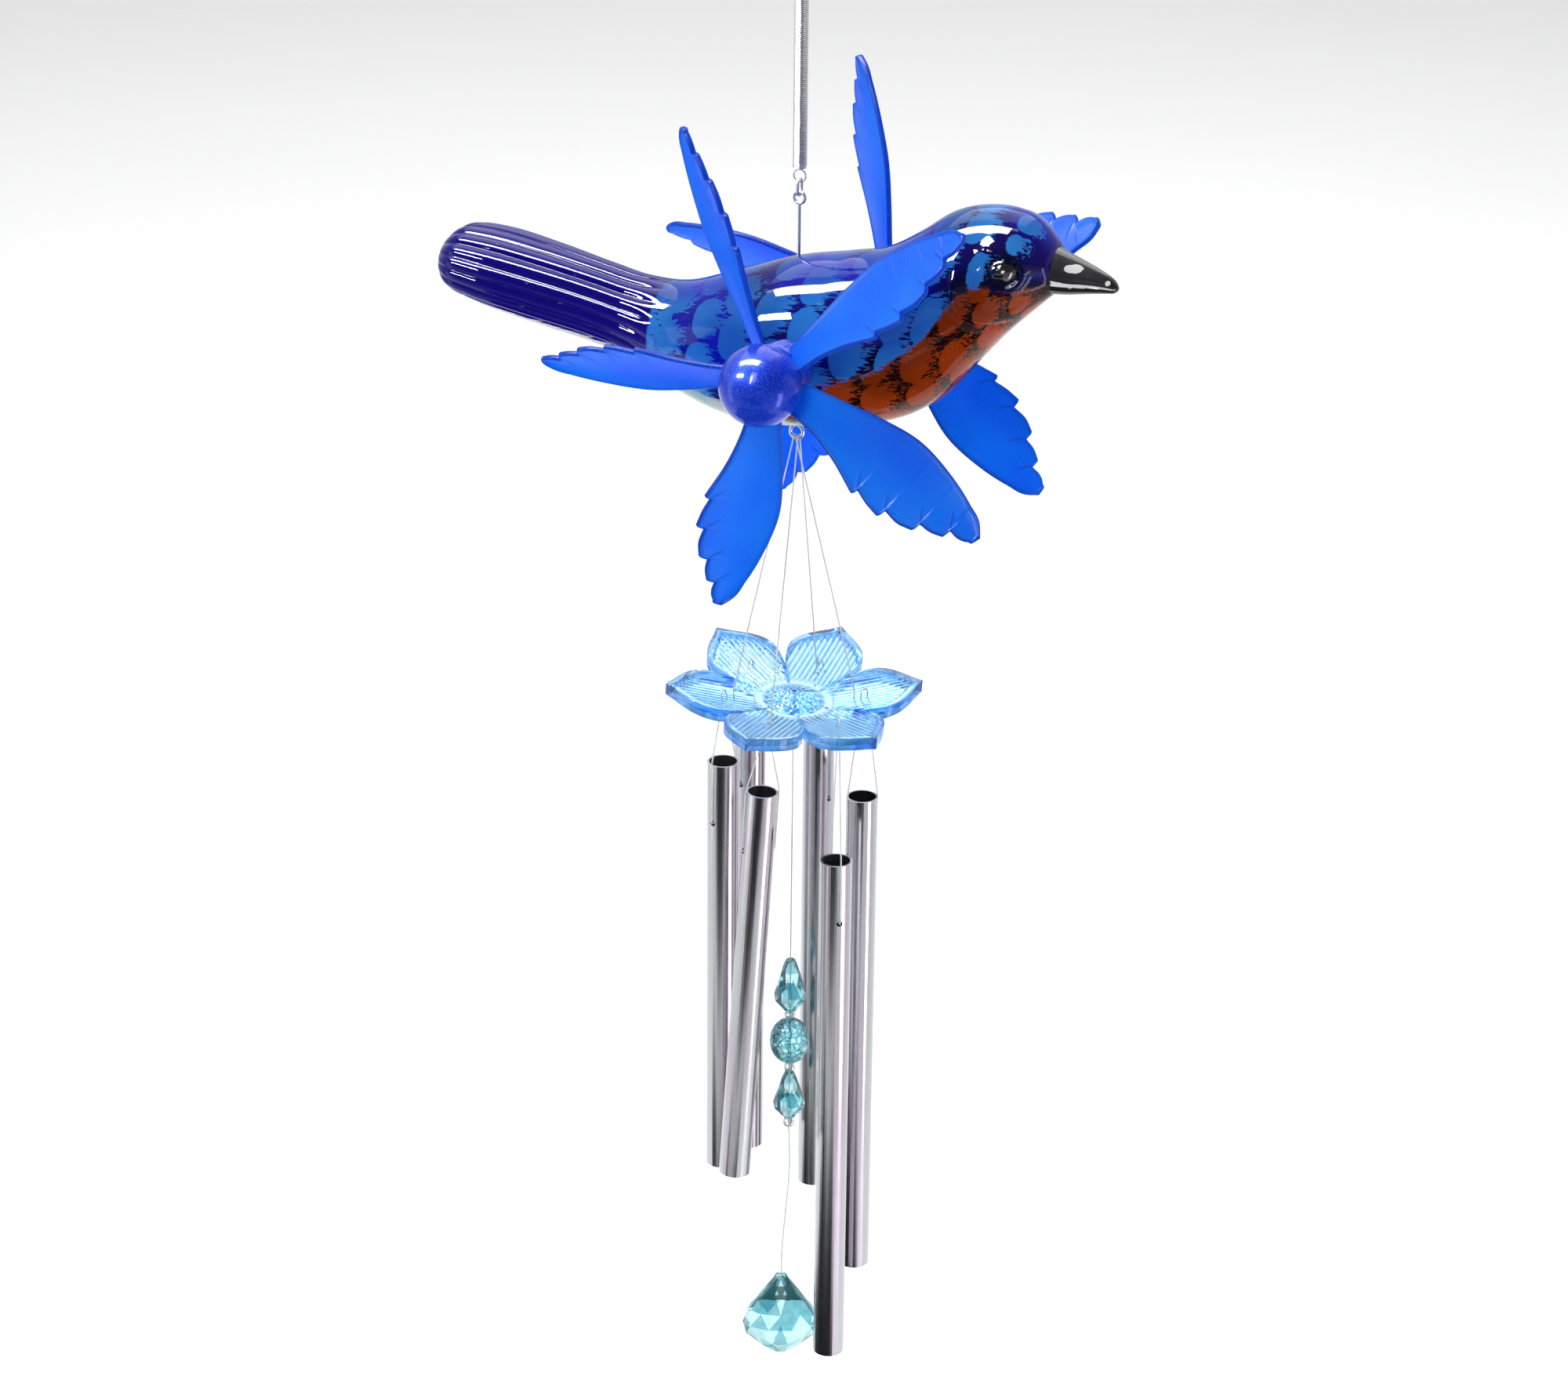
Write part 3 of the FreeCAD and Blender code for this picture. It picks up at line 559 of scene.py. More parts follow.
class WHIRLIGIG_OT_spring(bpy.types.Operator):
    """Close-coiled spring wire: (r cos a, r sin a, top - pitch * a / turn), with a ring loop at each end"""
    bl_idname = "whirligig.spring"
    bl_label = "Spring"

    def execute(self, context):
        steel = finish_named("plated_wire", steel_finish)
        middle, extent = box_middle("spring_coil")
        thick = 0.7
        radius = extent[0] / 2 - thick / 2
        top = middle[2] + extent[2] / 2 - thick / 2
        length = extent[2] - thick
        turns = round(length / (thick * 1.02))
        steps = turns * 22
        along = np.linspace(0, 1, steps)
        angle = 2 * np.pi * turns * along
        helix = np.stack([radius * np.cos(angle), radius * np.sin(angle), top - length * along], axis=1)
        coil = wire("spring_helix", helix, thick / 2 * 0.97, around=8)
        coil.data.materials.append(steel)
        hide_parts("spring_coil")
        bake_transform(coil)
        loops = (("spring_top_loop", "hanger", (0, 1, 0)), ("spring_end_loop", "spring_end", (1, 0, 0)))
        for node, body, side in loops:
            middle, extent = box_middle(node)
            loop = wire(
                node.replace("spring_", "spring_wire_"),
                ring_path(middle, extent[2] / 2 - thick / 2, side, (0, 0, 1)),
                thick / 2,
                closed=True,
            )
            place(loop, body, steel, [node])
        return {"FINISHED"}


class WHIRLIGIG_OT_hanger(bpy.types.Operator):
    """Oval link, and the wire through the bird with its two eyes"""
    bl_idname = "whirligig.hanger"
    bl_label = "Link and hanger wire"

    def execute(self, context):
        steel = finish_named("plated_wire", steel_finish)
        middle, extent = box_middle("link")
        radius = extent[0] / 2
        bend = extent[1] / 2 - radius
        rise = extent[2] / 2 - radius - bend
        upper = ring_path(middle + [0, 0, rise], bend, (0, 1, 0), (0, 0, 1), 0, 180, 24)
        lower = ring_path(middle - [0, 0, rise], bend, (0, 1, 0), (0, 0, 1), 180, 360, 24)
        link = wire("oval_link", np.vstack([upper, lower]), radius, closed=True)
        place(link, "link", steel, ["link"])
        middle, extent = box_middle("hanger_wire")
        radius = extent[1] / 2
        low, high = middle[2] - extent[2] / 2, middle[2] + extent[2] / 2
        eye, belly = 2.2, 2.6
        tall_eye = ring_path((0, 0, high - radius - eye), eye, (1, 0, 0), (0, 0, 1), -80, 262, 56)
        shank = np.array([[0, 0, z] for z in np.linspace(high - radius - 2 * eye, low + radius + 2 * belly, 24)])
        low_eye = ring_path((0, 0, low + radius + belly), belly, (1, 0, 0), (0, 0, 1), 90, 442, 60)
        place(wire("hanger_eye", tall_eye, radius), "bird", steel)
        place(wire("hanger_shank", shank, radius), "bird", steel)
        piece = wire("belly_eye", low_eye, radius)
        place(piece, "bird", steel, ["hanger_wire"])
        return {"FINISHED"}


# ---------------------------------------------------------------- bird

# Stations along the bird, mm: x, middle height above the axle, half height, half width.
BIRD_STATIONS = np.array([
    (-151.0, 10.2, 13.0, 19.0),
    (-142.0, 10.2, 13.4, 20.0),
    (-128.0, 8.3, 15.0, 21.0),
    (-105.0, 4.3, 15.7, 19.5),
    (-82.0, 0.0, 15.6, 17.5),
    (-66.0, -3.4, 16.2, 17.5),
    (-48.0, -7.4, 20.8, 21.5),
    (-25.0, -7.2, 28.3, 27.0),
    (0.0, -3.2, 32.9, 30.2),
    (20.0, 0.5, 33.4, 31.0),
    (36.0, 4.2, 33.8, 30.0),
    (50.0, 11.4, 35.0, 27.5),
    (62.0, 20.0, 34.8, 25.0),
    (74.0, 29.0, 29.6, 23.0),
    (86.0, 36.0, 22.8, 20.0),
    (95.0, 39.0, 17.0, 16.0),
    (101.0, 39.0, 11.2, 10.8),
    (104.5, 38.4, 7.5, 7.0),
])
EYE_AT = (88.5, 40.5)
CHEEK_AT = (84.0, 34.0)
TAIL_END, TAIL_ROUND = -151.0, 15.0
FACE_END, FACE_ROUND = 104.5, 2.5


def bird_section(x):
    """Middle height, half height and half width at x, rounded off to nothing at both ends."""
    middle, tall, wide = (smooth_curve(x, BIRD_STATIONS[:, 0], BIRD_STATIONS[:, k]) for k in (1, 2, 3))
    back = np.clip((TAIL_END + TAIL_ROUND - x) / TAIL_ROUND, 0, 1)
    front = np.clip((x - FACE_END + FACE_ROUND) / FACE_ROUND, 0, 1)
    round_off = np.sqrt(np.clip(1 - back ** 2.4, 0, 1)) * np.sqrt(np.clip(1 - front ** 2, 0, 1))
    return middle, tall * round_off, wide * round_off


def tail_ribs(x, angle):
    """Rounded ribs that run along the tail, with a crease between each two; angle is from the top."""
    spread = np.degrees(angle)
    lobes = np.abs(np.sin(np.radians(spread * 180 / 21.0)))
    along = ramp(x, -50, -64) * ramp(x, -150.5, -141)
    return (lobes ** 0.55 - 0.6) * along * ramp(spread, 134, 118)


def head_relief(x, z, spread):
    """Eye socket and lid, brow ridge, swelling cheek with its crease; millimetres outwards."""
    side = ramp(spread, 24, 40)
    from_eye = np.hypot(x - EYE_AT[0], z - EYE_AT[1])
    relief = -1.0 * near(from_eye, 4.8, 1.5) * side
    relief += 0.8 * near(from_eye, 7.6, 1.3) * side * ramp(z - EYE_AT[1], 2.0, -1.0)
    # brow: distance to the line from above the eye to the top of the beak
    start, end = np.array([82.0, 47.5]), np.array([102.0, 41.5])
    span = end - start
    t = np.clip(((x - start[0]) * span[0] + (z - start[1]) * span[1]) / span.dot(span), 0, 1)
    from_brow = np.hypot(x - start[0] - t * span[0], z - start[1] - t * span[1])
    relief += 1.3 * near(from_brow, 0, 2.6) * side
    # hollow between eye and beak
    relief -= 0.9 * near(np.hypot(x - 97.5, (z - 37.5) * 1.2), 0, 3.6) * side
    out = np.hypot(x - CHEEK_AT[0], z - CHEEK_AT[1])
    around = np.degrees(np.arctan2(z - CHEEK_AT[1], x - CHEEK_AT[0])) % 360
    arc = ramp(around, 150, 178) * ramp(around, 300, 262)
    relief += arc * side * (-1.2 * near(out, 15.6, 1.3) + 1.1 * near(out, 12.4, 2.6))
    return relief


BREAST_EDGE = np.array([  # x, angle from the top where the warm breast starts
    (-30, 190), (-12, 150), (0, 132), (10, 118), (20, 110), (35, 104), (50, 103), (62, 100),
    (70, 90), (76, 84), (84, 92), (91, 106), (98, 112), (104, 118),
])
BELLY_EDGE = np.array([  # x, angle from the top where the pale belly starts
    (-152, 132), (-60, 128), (-40, 122), (-22, 124), (-5, 140), (10, 148), (25, 153), (38, 160), (50, 172),
    (60, 190),
])


def feather_patches(x, spread, columns, spacing, half_angle):
    """Field of scallop patches: above 0 inside. Each is round towards the tail, long towards the beak.
    Returns the field and how ragged the edge is there."""
    field = np.full(x.shape, -1.0)
    ragged = np.zeros(x.shape)
    rows = np.random.default_rng(7)
    for number, (column, length) in enumerate(columns):
        offset = spacing / 2 * (number % 2)
        for middle in np.arange(-offset, 190, spacing):
            shift = rows.uniform(-2.0, 2.0)
            lean = rows.uniform(-3, 3)
            dx = x - column - shift
            da = (spread - middle - lean) / half_angle
            reach = np.where(dx < 0, 0.36 * length, 0.56 * length)
            here = 1 - (dx / reach) ** 2 - np.abs(da) ** 2.8
            closer = here > field
            field = np.where(closer, here, field)
            ragged = np.where(closer, ramp(dx, 0, 0.42 * length), ragged)
    return field, ragged


def bird_marks(x, z, spread):
    """Paint fields per point: patch, its raggedness, breast, belly, tail, crown, and the shadow mark: painted shade
    round the eye and in the hollow before the beak, with a dark band along the top of the breast.
    """
    back_columns = [
        (-44, 15), (-30, 16), (-15, 17), (1, 18), (17, 18), (33, 18), (49, 17), (64, 16), (79, 15), (93, 12),
    ]
    blue, blue_ragged = feather_patches(x, spread, back_columns, 36, 17)
    chest_columns = [(4, 15), (18, 16), (33, 16), (48, 16), (62, 15), (75, 13), (87, 12), (98, 9)]
    warm, warm_ragged = feather_patches(x + 4, spread + 6, chest_columns, 30, 14.5)
    collar = 1 - ((x + 50) / 9) ** 2
    blue = np.where(np.abs(x + 52) < 8, np.maximum(blue, 0.9 * collar), blue)
    breast_at = np.interp(x, BREAST_EDGE[:, 0], BREAST_EDGE[:, 1])
    belly_at = np.interp(x, BELLY_EDGE[:, 0], BELLY_EDGE[:, 1])
    breast = ramp(spread - breast_at, -9, 9)
    from_eye = np.hypot((x - EYE_AT[0] - 1) * 0.9, z - EYE_AT[1])
    crown = ramp(spread, 52, 22) * ramp(x, 84, 66)
    # painted shade round the eye socket and in the hollow between eye and beak; the same mark also darkens a band just
    # above the breast's edge
    shadow = near(from_eye, 3.5, 4.2) * ramp(spread, 20, 36)
    shadow = np.maximum(shadow, 0.92 * near(spread - breast_at, -6, 13) * ramp(x, -16, 4))
    shadow = np.maximum(shadow, near(np.hypot((x - 97) * 0.8, (z - 40.5) * 1.5), 0, 3.4) * 0.8)
    face = ramp(x, 97.5, 101.5)
    return {
        "patch": np.where(breast > 0.5, warm, blue - 1.4 * near(from_eye, 0, 9) - face),
        "ragged": np.where(breast > 0.5, 1.15 * warm_ragged + 0.08, np.where(x < -47, 1.0, blue_ragged)),
        "breast": breast,
        "belly": ramp(spread - belly_at, -8, 8),
        "tail": ramp(x, -51, -57),
        "shadow": shadow,
        "crown": crown,
    }


class WHIRLIGIG_OT_bird(bpy.types.Operator):
    """Bird body: ovals of (wide sin a, middle + tall cos a) carried from tail to face, with ribs and relief
    pushed out along the oval's own radius"""
    bl_idname = "whirligig.bird"
    bl_label = "Bird body"

    def execute(self, context):
        settings = context.scene.whirligig_bird
        body_stations, cols = 351, 220
        tip = TAIL_END + TAIL_ROUND * (1 - np.cos(np.linspace(0, np.pi / 2, 40)))
        x = np.concatenate([tip[:-1], np.linspace(tip[-1], FACE_END - FACE_ROUND, body_stations)])
        x = np.concatenate([x, FACE_END - FACE_ROUND + FACE_ROUND * np.sin(np.linspace(0, np.pi / 2, 11))[1:]])
        rows = len(x)
        angle = np.linspace(0, 2 * np.pi, cols, endpoint=False)
        middle, tall, wide = bird_section(x)
        x_grid, turn = np.meshgrid(x, angle, indexing="ij")
        off_top = np.minimum(turn, 2 * np.pi - turn)
        z_flat = middle[:, None] + tall[:, None] * np.cos(turn)
        spread = np.degrees(off_top)
        relief = settings.rib_height / MM * tail_ribs(x_grid, off_top) + head_relief(x_grid, z_flat, spread)
        relief *= ramp(x_grid, TAIL_END, TAIL_END + 3) * ramp(x_grid, FACE_END, FACE_END - 3)
        y = (wide[:, None] + relief) * np.sin(turn)
        z = middle[:, None] + (tall[:, None] + relief) * np.cos(turn)
        ends = (x_grid <= x[0]) | (x_grid >= x[-1])
        y = np.where(ends, 0, y)
        z = np.where(ends, middle[:, None], z)
        points = np.stack([x_grid, y, z + AXLE.z / MM], axis=-1) * MM
        faces = join_faces(rows, cols, wrap_cols=True)
        body = make_mesh("bird_body", points, faces, bird_marks(x_grid, z_flat, spread))
        shade(body)
        enamel = finish_named("bird_enamel", paint_finish, settings)
        place(body, "bird", enamel, ["body_shell_right", "body_shell_left"])
        for name, side in SIDES.items():
            profile = [(24, 3.0), (24, 5.9), (35.6, 5.9), (36.4, 5.2), (36.5, 3.0)]
            boss = lathe("axle_boss_" + name, profile, (AXLE.x, 0, AXLE.z), (0, side, 0), 64)
            shade(boss, 40)
            place(boss, "bird", enamel)
        return {"FINISHED"}


BEAK_STATIONS = np.array([  # x, middle, half height, half width
    (98.5, 38.3, 9.4, 8.9), (103.0, 37.9, 8.7, 8.0), (108.0, 37.2, 7.6, 6.6), (114.0, 36.6, 6.0, 5.1),
    (120.0, 35.8, 4.3, 3.7), (124.5, 34.9, 2.8, 2.5), (126.9, 34.2, 1.7, 1.6),
])


class WHIRLIGIG_OT_beak_and_eyes(bpy.types.Operator):
    """Beak: tapering ovals with a gape pressed in along each side; eyes: flattened balls in their sockets"""
    bl_idname = "whirligig.beak_and_eyes"
    bl_label = "Beak and eyes"

    def execute(self, context):
        x = np.concatenate([np.linspace(98.5, 124.8, 90), 124.8 + 2.1 * np.sin(np.linspace(0, np.pi / 2, 14))[1:]])
        middle, tall, wide = (smooth_curve(x, BEAK_STATIONS[:, 0], BEAK_STATIONS[:, k]) for k in (1, 2, 3))
        end = np.sqrt(np.clip(1 - np.clip((x - 124.8) / 2.1, 0, 1) ** 2, 0, 1))
        tall, wide = tall * end, wide * end
        angle = np.linspace(0, 2 * np.pi, 160, endpoint=False)
        x_grid, turn = np.meshgrid(x, angle, indexing="ij")
        spread = np.degrees(np.minimum(turn, 2 * np.pi - turn))
        gape = np.interp(x, (99, 110, 127), (108, 112, 104))[:, None]
        open_mouth = ramp(x_grid, 100, 103) * ramp(x_grid, 127.5, 124)
        relief = (-0.75 * near(spread, gape, 7) + 0.35 * near(spread, gape - 15, 8)) * open_mouth
        root = near(x_grid, 99, 1.6)
        y = (wide[:, None] + relief + 0.4 * root) * np.sin(turn) * np.where(x_grid < x[-1], 1, 0)
        z = middle[:, None] + (tall[:, None] + relief + 0.4 * root) * np.cos(turn) * np.where(x_grid < x[-1], 1, 0)
        nostril = 1.5 - np.hypot((x_grid - 111.0) / 3.4, (z - 40.8) / 1.5) * 1.0
        nostril = np.where(spread > 20, nostril, 0)
        dot = 1.5 - np.hypot(x_grid - 123.4, z - 36.5) / 0.9
        line = np.where(np.abs(spread - gape) < 7.5, 1.0, 0.0) * open_mouth
        white = np.clip(np.maximum(np.maximum(nostril, dot), line), 0, 1)
        points = np.stack([x_grid, y, z + AXLE.z / MM], axis=-1) * MM
        root_cap = points[:1].copy()
        root_cap[..., 1] = 0
        root_cap[..., 2] = points[0, :, 2].mean()
        points = np.concatenate([root_cap, points])
        white = np.concatenate([white[:1], white])
        beak = make_mesh("beak", points, join_faces(len(points), 160, wrap_cols=True), {"white": white})
        shade(beak)
        place(beak, "bird", finish_named("beak_enamel", beak_finish))
        eye_black = finish_named("eye_enamel", eye_finish)
        for name, side in SIDES.items():
            down, across = np.meshgrid(
                np.linspace(0, np.pi, 40), np.linspace(0, 2 * np.pi, 60, endpoint=False), indexing="ij"
            )
            radius = 4.7
            flat = 0.62
            out = np.cos(down)
            x_eye = EYE_AT[0] + radius * np.sin(down) * np.cos(across)
            z_eye = EYE_AT[1] + radius * np.sin(down) * np.sin(across)
            # seat the ball on the head: further out where the head is wider
            section = bird_section(x_eye)
            height = np.clip((z_eye - section[0]) / section[1], -0.98, 0.98)
            seat = section[2] * np.sqrt(1 - height ** 2)
            y_eye = side * (seat - 1.4 + radius * flat * out)
            # painted highlight: a small white dot just up and forward of the eye's middle
            glint = np.hypot(x_eye - EYE_AT[0] - 0.9, z_eye - EYE_AT[1] - 0.4)
            white = np.where((glint < 0.55) & (out > 0.3), 1.0, 0.0)
            points = np.stack([x_eye, y_eye, z_eye + AXLE.z / MM], axis=-1) * MM
            eye = make_mesh("eye_" + name, points, join_faces(40, 60, wrap_cols=True), {"white": white})
            shade(eye)
            place(eye, "bird", eye_black)
        return {"FINISHED"}


# ---------------------------------------------------------------- propellers

# Across the blade, mm, against distance from the axle: the smooth edge and the feathered edge.
SMOOTH_EDGE = np.array([
    (9, -6.3), (22, -9.6), (41, -14.8), (56, -17.2), (71, -15.2), (85, -10.8), (93, -6.9), (96, -3.4),
])
FEATHER_LOBES = [  # start and tip of each lobe: distance, across
    ((9, 5.9), (25, 6.7), (36, 9.2), (49.6, 14.5)),
    ((50.9, 12.2), (56, 13.9), (62.0, 15.0)),
    ((63.4, 11.6), (70, 12.3), (74.8, 11.0)),
    ((76.2, 7.2), (81, 7.0), (85.0, 5.6)),
    ((86.0, 1.9), (90, 2.3), (93.5, 0.9), (95.6, -1.4), (96, -3.4)),
]
NOTCHES = [(50.4, 12.0), (62.9, 11.4), (75.7, 7.0), (85.6, 1.7)]


def feather_edge(distance):
    """The feathered edge: each lobe swells to its tip, and the next starts lower down, so the edge steps."""
    edge = np.zeros(distance.shape)
    for number, lobe in enumerate(FEATHER_LOBES):
        knots = np.array(lobe)
        start = knots[0, 0]
        end = FEATHER_LOBES[number + 1][0][0] if number + 1 < len(FEATHER_LOBES) else 97
        inside = (distance >= start) & (distance < end)
        value = smooth_curve(distance, knots[:, 0], knots[:, 1])
        if number + 1 < len(FEATHER_LOBES):
            tip, foot = knots[-1], FEATHER_LOBES[number + 1][0]
            t = np.clip((distance - tip[0]) / (foot[0] - tip[0]), 0, 1)
            value = np.where(distance > tip[0], tip[1] + (foot[1] - tip[1]) * (1 - np.sqrt(1 - t ** 2)), value)
        edge = np.where(inside, value, edge)
    return edge


def blade_grid(rim):
    """Upper and lower faces of one blade in its own plane: x is distance from the axle, y across, z thick.
    Thickness falls to nothing at the edge as a quarter round; a rim stands just inside it."""
    distance = np.concatenate([
        np.linspace(9, 47, 50)[:-1], np.linspace(47, 93, 190)[:-1], 93 + 3 * np.sin(np.linspace(0, np.pi / 2, 20)),
    ])
    smooth = smooth_curve(distance, SMOOTH_EDGE[:, 0], SMOOTH_EDGE[:, 1])
    feather = feather_edge(distance)
    share = (1 - np.cos(np.linspace(0, np.pi, 52))) / 2
    across = smooth[:, None] + (feather - smooth)[:, None] * share[None, :]
    far = np.broadcast_to(distance[:, None], across.shape)
    to_edge = np.minimum(across - smooth[:, None], feather[:, None] - across)
    to_edge = np.minimum(to_edge, (96 - far) * 0.9)
    half = 0.78
    edge = np.sqrt(np.clip(1 - np.clip(1 - to_edge / half, 0, 1) ** 2, 0, 1))
    rim_line = near(to_edge, 1.0, 0.55)
    crease = np.zeros(across.shape)
    for at, edge_at in NOTCHES:
        # a short raised line from each notch, slanting back towards the axle
        inward = edge_at - across
        line = far - at + 0.55 * inward
        crease += near(line, 0, 0.45) * ramp(inward, -0.5, 0.5) * ramp(inward, 7.5, 4.0)
    thick = half * edge + (rim * rim_line + 0.2 * np.clip(crease, 0, 1) * ramp(to_edge, 0, 1)) * ramp(far, 14, 22)
    camber = 1.1 * np.sin(np.pi * share)[None, :] * ramp(far, 12, 40)
    top = np.stack([far, across, camber + thick], axis=-1)
    bottom = np.stack([far, across, camber - thick], axis=-1)[:, ::-1]
    mark = np.clip(near(to_edge, 0, 1.0) + 0.6 * crease, 0, 1)
    return np.concatenate([top, bottom], axis=1), np.concatenate([mark, mark[:, ::-1]], axis=1)


def blade_direction(node):
    """Direction of a blade in the turning plane, from the axle to the farthest points of its CAD mesh."""
    mesh = frame["nodes"][node].data
    count = len(mesh.vertices)
    points = np.empty(count * 3, dtype=np.float32)
    mesh.vertices.foreach_get("co", points)
    points = points.reshape(-1, 3)
    from_axle = points - np.array([AXLE.x, 0, AXLE.z])
    reach = np.hypot(from_axle[:, 0], from_axle[:, 2])
    far = from_axle[reach > reach.max() - 0.0022].mean(axis=0)
    outwards = np.array([far[0], 0, far[2]])
    outwards /= np.linalg.norm(outwards)
    return outwards


class WHIRLIGIG_OT_propellers(bpy.types.Operator):
    """Feather blades: a flat grid between a smooth and a stepped edge, pitched and turned round the axle;
    ball caps and cups are lathed"""
    bl_idname = "whirligig.propellers"
    bl_label = "Propellers"

    def execute(self, context):
        settings = context.scene.whirligig_propeller
        plastic = finish_named("blade_plastic", blade_finish, settings)
        pearl = finish_named("hub_pearl", hub_finish, settings)
        grid, mark = blade_grid(settings.rim / MM)
        pitch = math.radians(45)
        plane = 54.0
        for name, side in SIDES.items():
            out = np.array([0.0, side, 0.0])
            for number in BLADE_NUMBERS:
                node = "blade_%s_%d" % (name, number)
                outwards = blade_direction(node)
                sideways = -np.cross(out, outwards)
                across = sideways * math.cos(pitch) + out * math.sin(pitch)
                normal = np.cross(outwards, across)
                origin = np.array([AXLE.x, side * plane * MM, AXLE.z])
                points = origin + MM * (grid[..., :1] * outwards + grid[..., 1:2] * across + grid[..., 2:] * normal)
                faces = join_faces(grid.shape[0], grid.shape[1], wrap_cols=True)
                blade = make_mesh("feather_%s_%d" % (name, number), points, faces, {"rim": mark})
                close_ends(blade)
                shade(blade, 50)
                place(blade, "propeller_" + name, plastic, [node])
            centre = (AXLE.x, 0, AXLE.z)
            ball, split, radius = 64.0, 53.2, 15.19
            first = math.acos((split - ball) / radius)
            arc = np.linspace(first, 0, 60)
            outer = [(ball + radius * math.cos(a), radius * math.sin(a)) for a in arc]
            inner = [(ball + (radius - 1.5) * math.cos(a), (radius - 1.5) * math.sin(a)) for a in arc[::-1]]
            cap = lathe("ball_" + name, outer + inner, centre, (0, side, 0), 128)
            shade(cap, 50)
            place(cap, "propeller_" + name, pearl, ["hub_cap_" + name])
            profile = [
                (38.0, 3.0), (38.0, 8.4), (38.3, 9.3), (39.0, 10.1), (40.2, 10.6), (52.6, 12.0), (53.15, 11.8),
                (53.15, 10.4), (40.5, 9.2), (39.6, 4.4), (58.0, 4.3), (58.0, 3.0),
            ]
            cup = lathe("cup_" + name, profile, centre, (0, side, 0), 128)
            shade(cup, 35)
            place(cup, "propeller_" + name, pearl, ["hub_cup_" + name])
        return {"FINISHED"}


def close_ends(piece):
    """Fill any open loop of a piece and turn its faces outwards."""
    tidy = bmesh.new()
    tidy.from_mesh(piece.data)
    bmesh.ops.holes_fill(tidy, edges=[edge for edge in tidy.edges if edge.is_boundary], sides=0)
    bmesh.ops.triangulate(tidy, faces=[face for face in tidy.faces if len(face.verts) > 4])
    bmesh.ops.recalc_face_normals(tidy, faces=tidy.faces)
    tidy.to_mesh(piece.data)
    tidy.free()


class WHIRLIGIG_OT_bearings(bpy.types.Operator):
    """Axle, bushings, washers and push nuts keep their CAD shapes and get their finishes"""
    bl_idname = "whirligig.bearings"
    bl_label = "Axle and bearings"

    def execute(self, context):
        steel = finish_named("plated_wire", steel_finish)
        plastic = finish_named("bearing_plastic", bearing_finish)
        repaint("axle", steel)
        for name in SIDES:
            repaint("push_nut_" + name, steel)
            for kind in ("axle_bushing_", "thrust_washer_", "hub_bushing_"):
                repaint(kind + name, plastic)
        return {"FINISHED"}


def repaint(node, material):
    """Every material slot of a CAD node gets this finish."""
    piece = frame["nodes"][node]
    for slot in piece.material_slots:
        slot.material = material


# ---------------------------------------------------------------- chime

FLOWER_DROP = 321.0
FLOWER_TURN = (
    Matrix.Rotation(math.radians(4.5), 3, "X")
    @ Matrix.Rotation(math.radians(5.8), 3, "Y")
    @ Matrix.Rotation(math.radians(32.7), 3, "Z")
)


def flower_points(x, y, z):
    """Points of the flower's own frame put where it hangs, in metres."""
    local = np.stack([x, y, z], axis=-1) * MM
    return local @ np.array(FLOWER_TURN).T + np.array([0, 0, -FLOWER_DROP * MM])


def petal_reach(angle):
    """Outline radius: 25 in the valleys, 51 at the tips, with full shoulders between."""
    off = np.abs((np.degrees(angle) + 30) % 60 - 30)
    return smooth_curve(off, [0, 4, 10, 16, 21, 25, 28, 30], [51.0, 48.4, 45.6, 43.0, 40.2, 36.6, 31.0, 25.5])


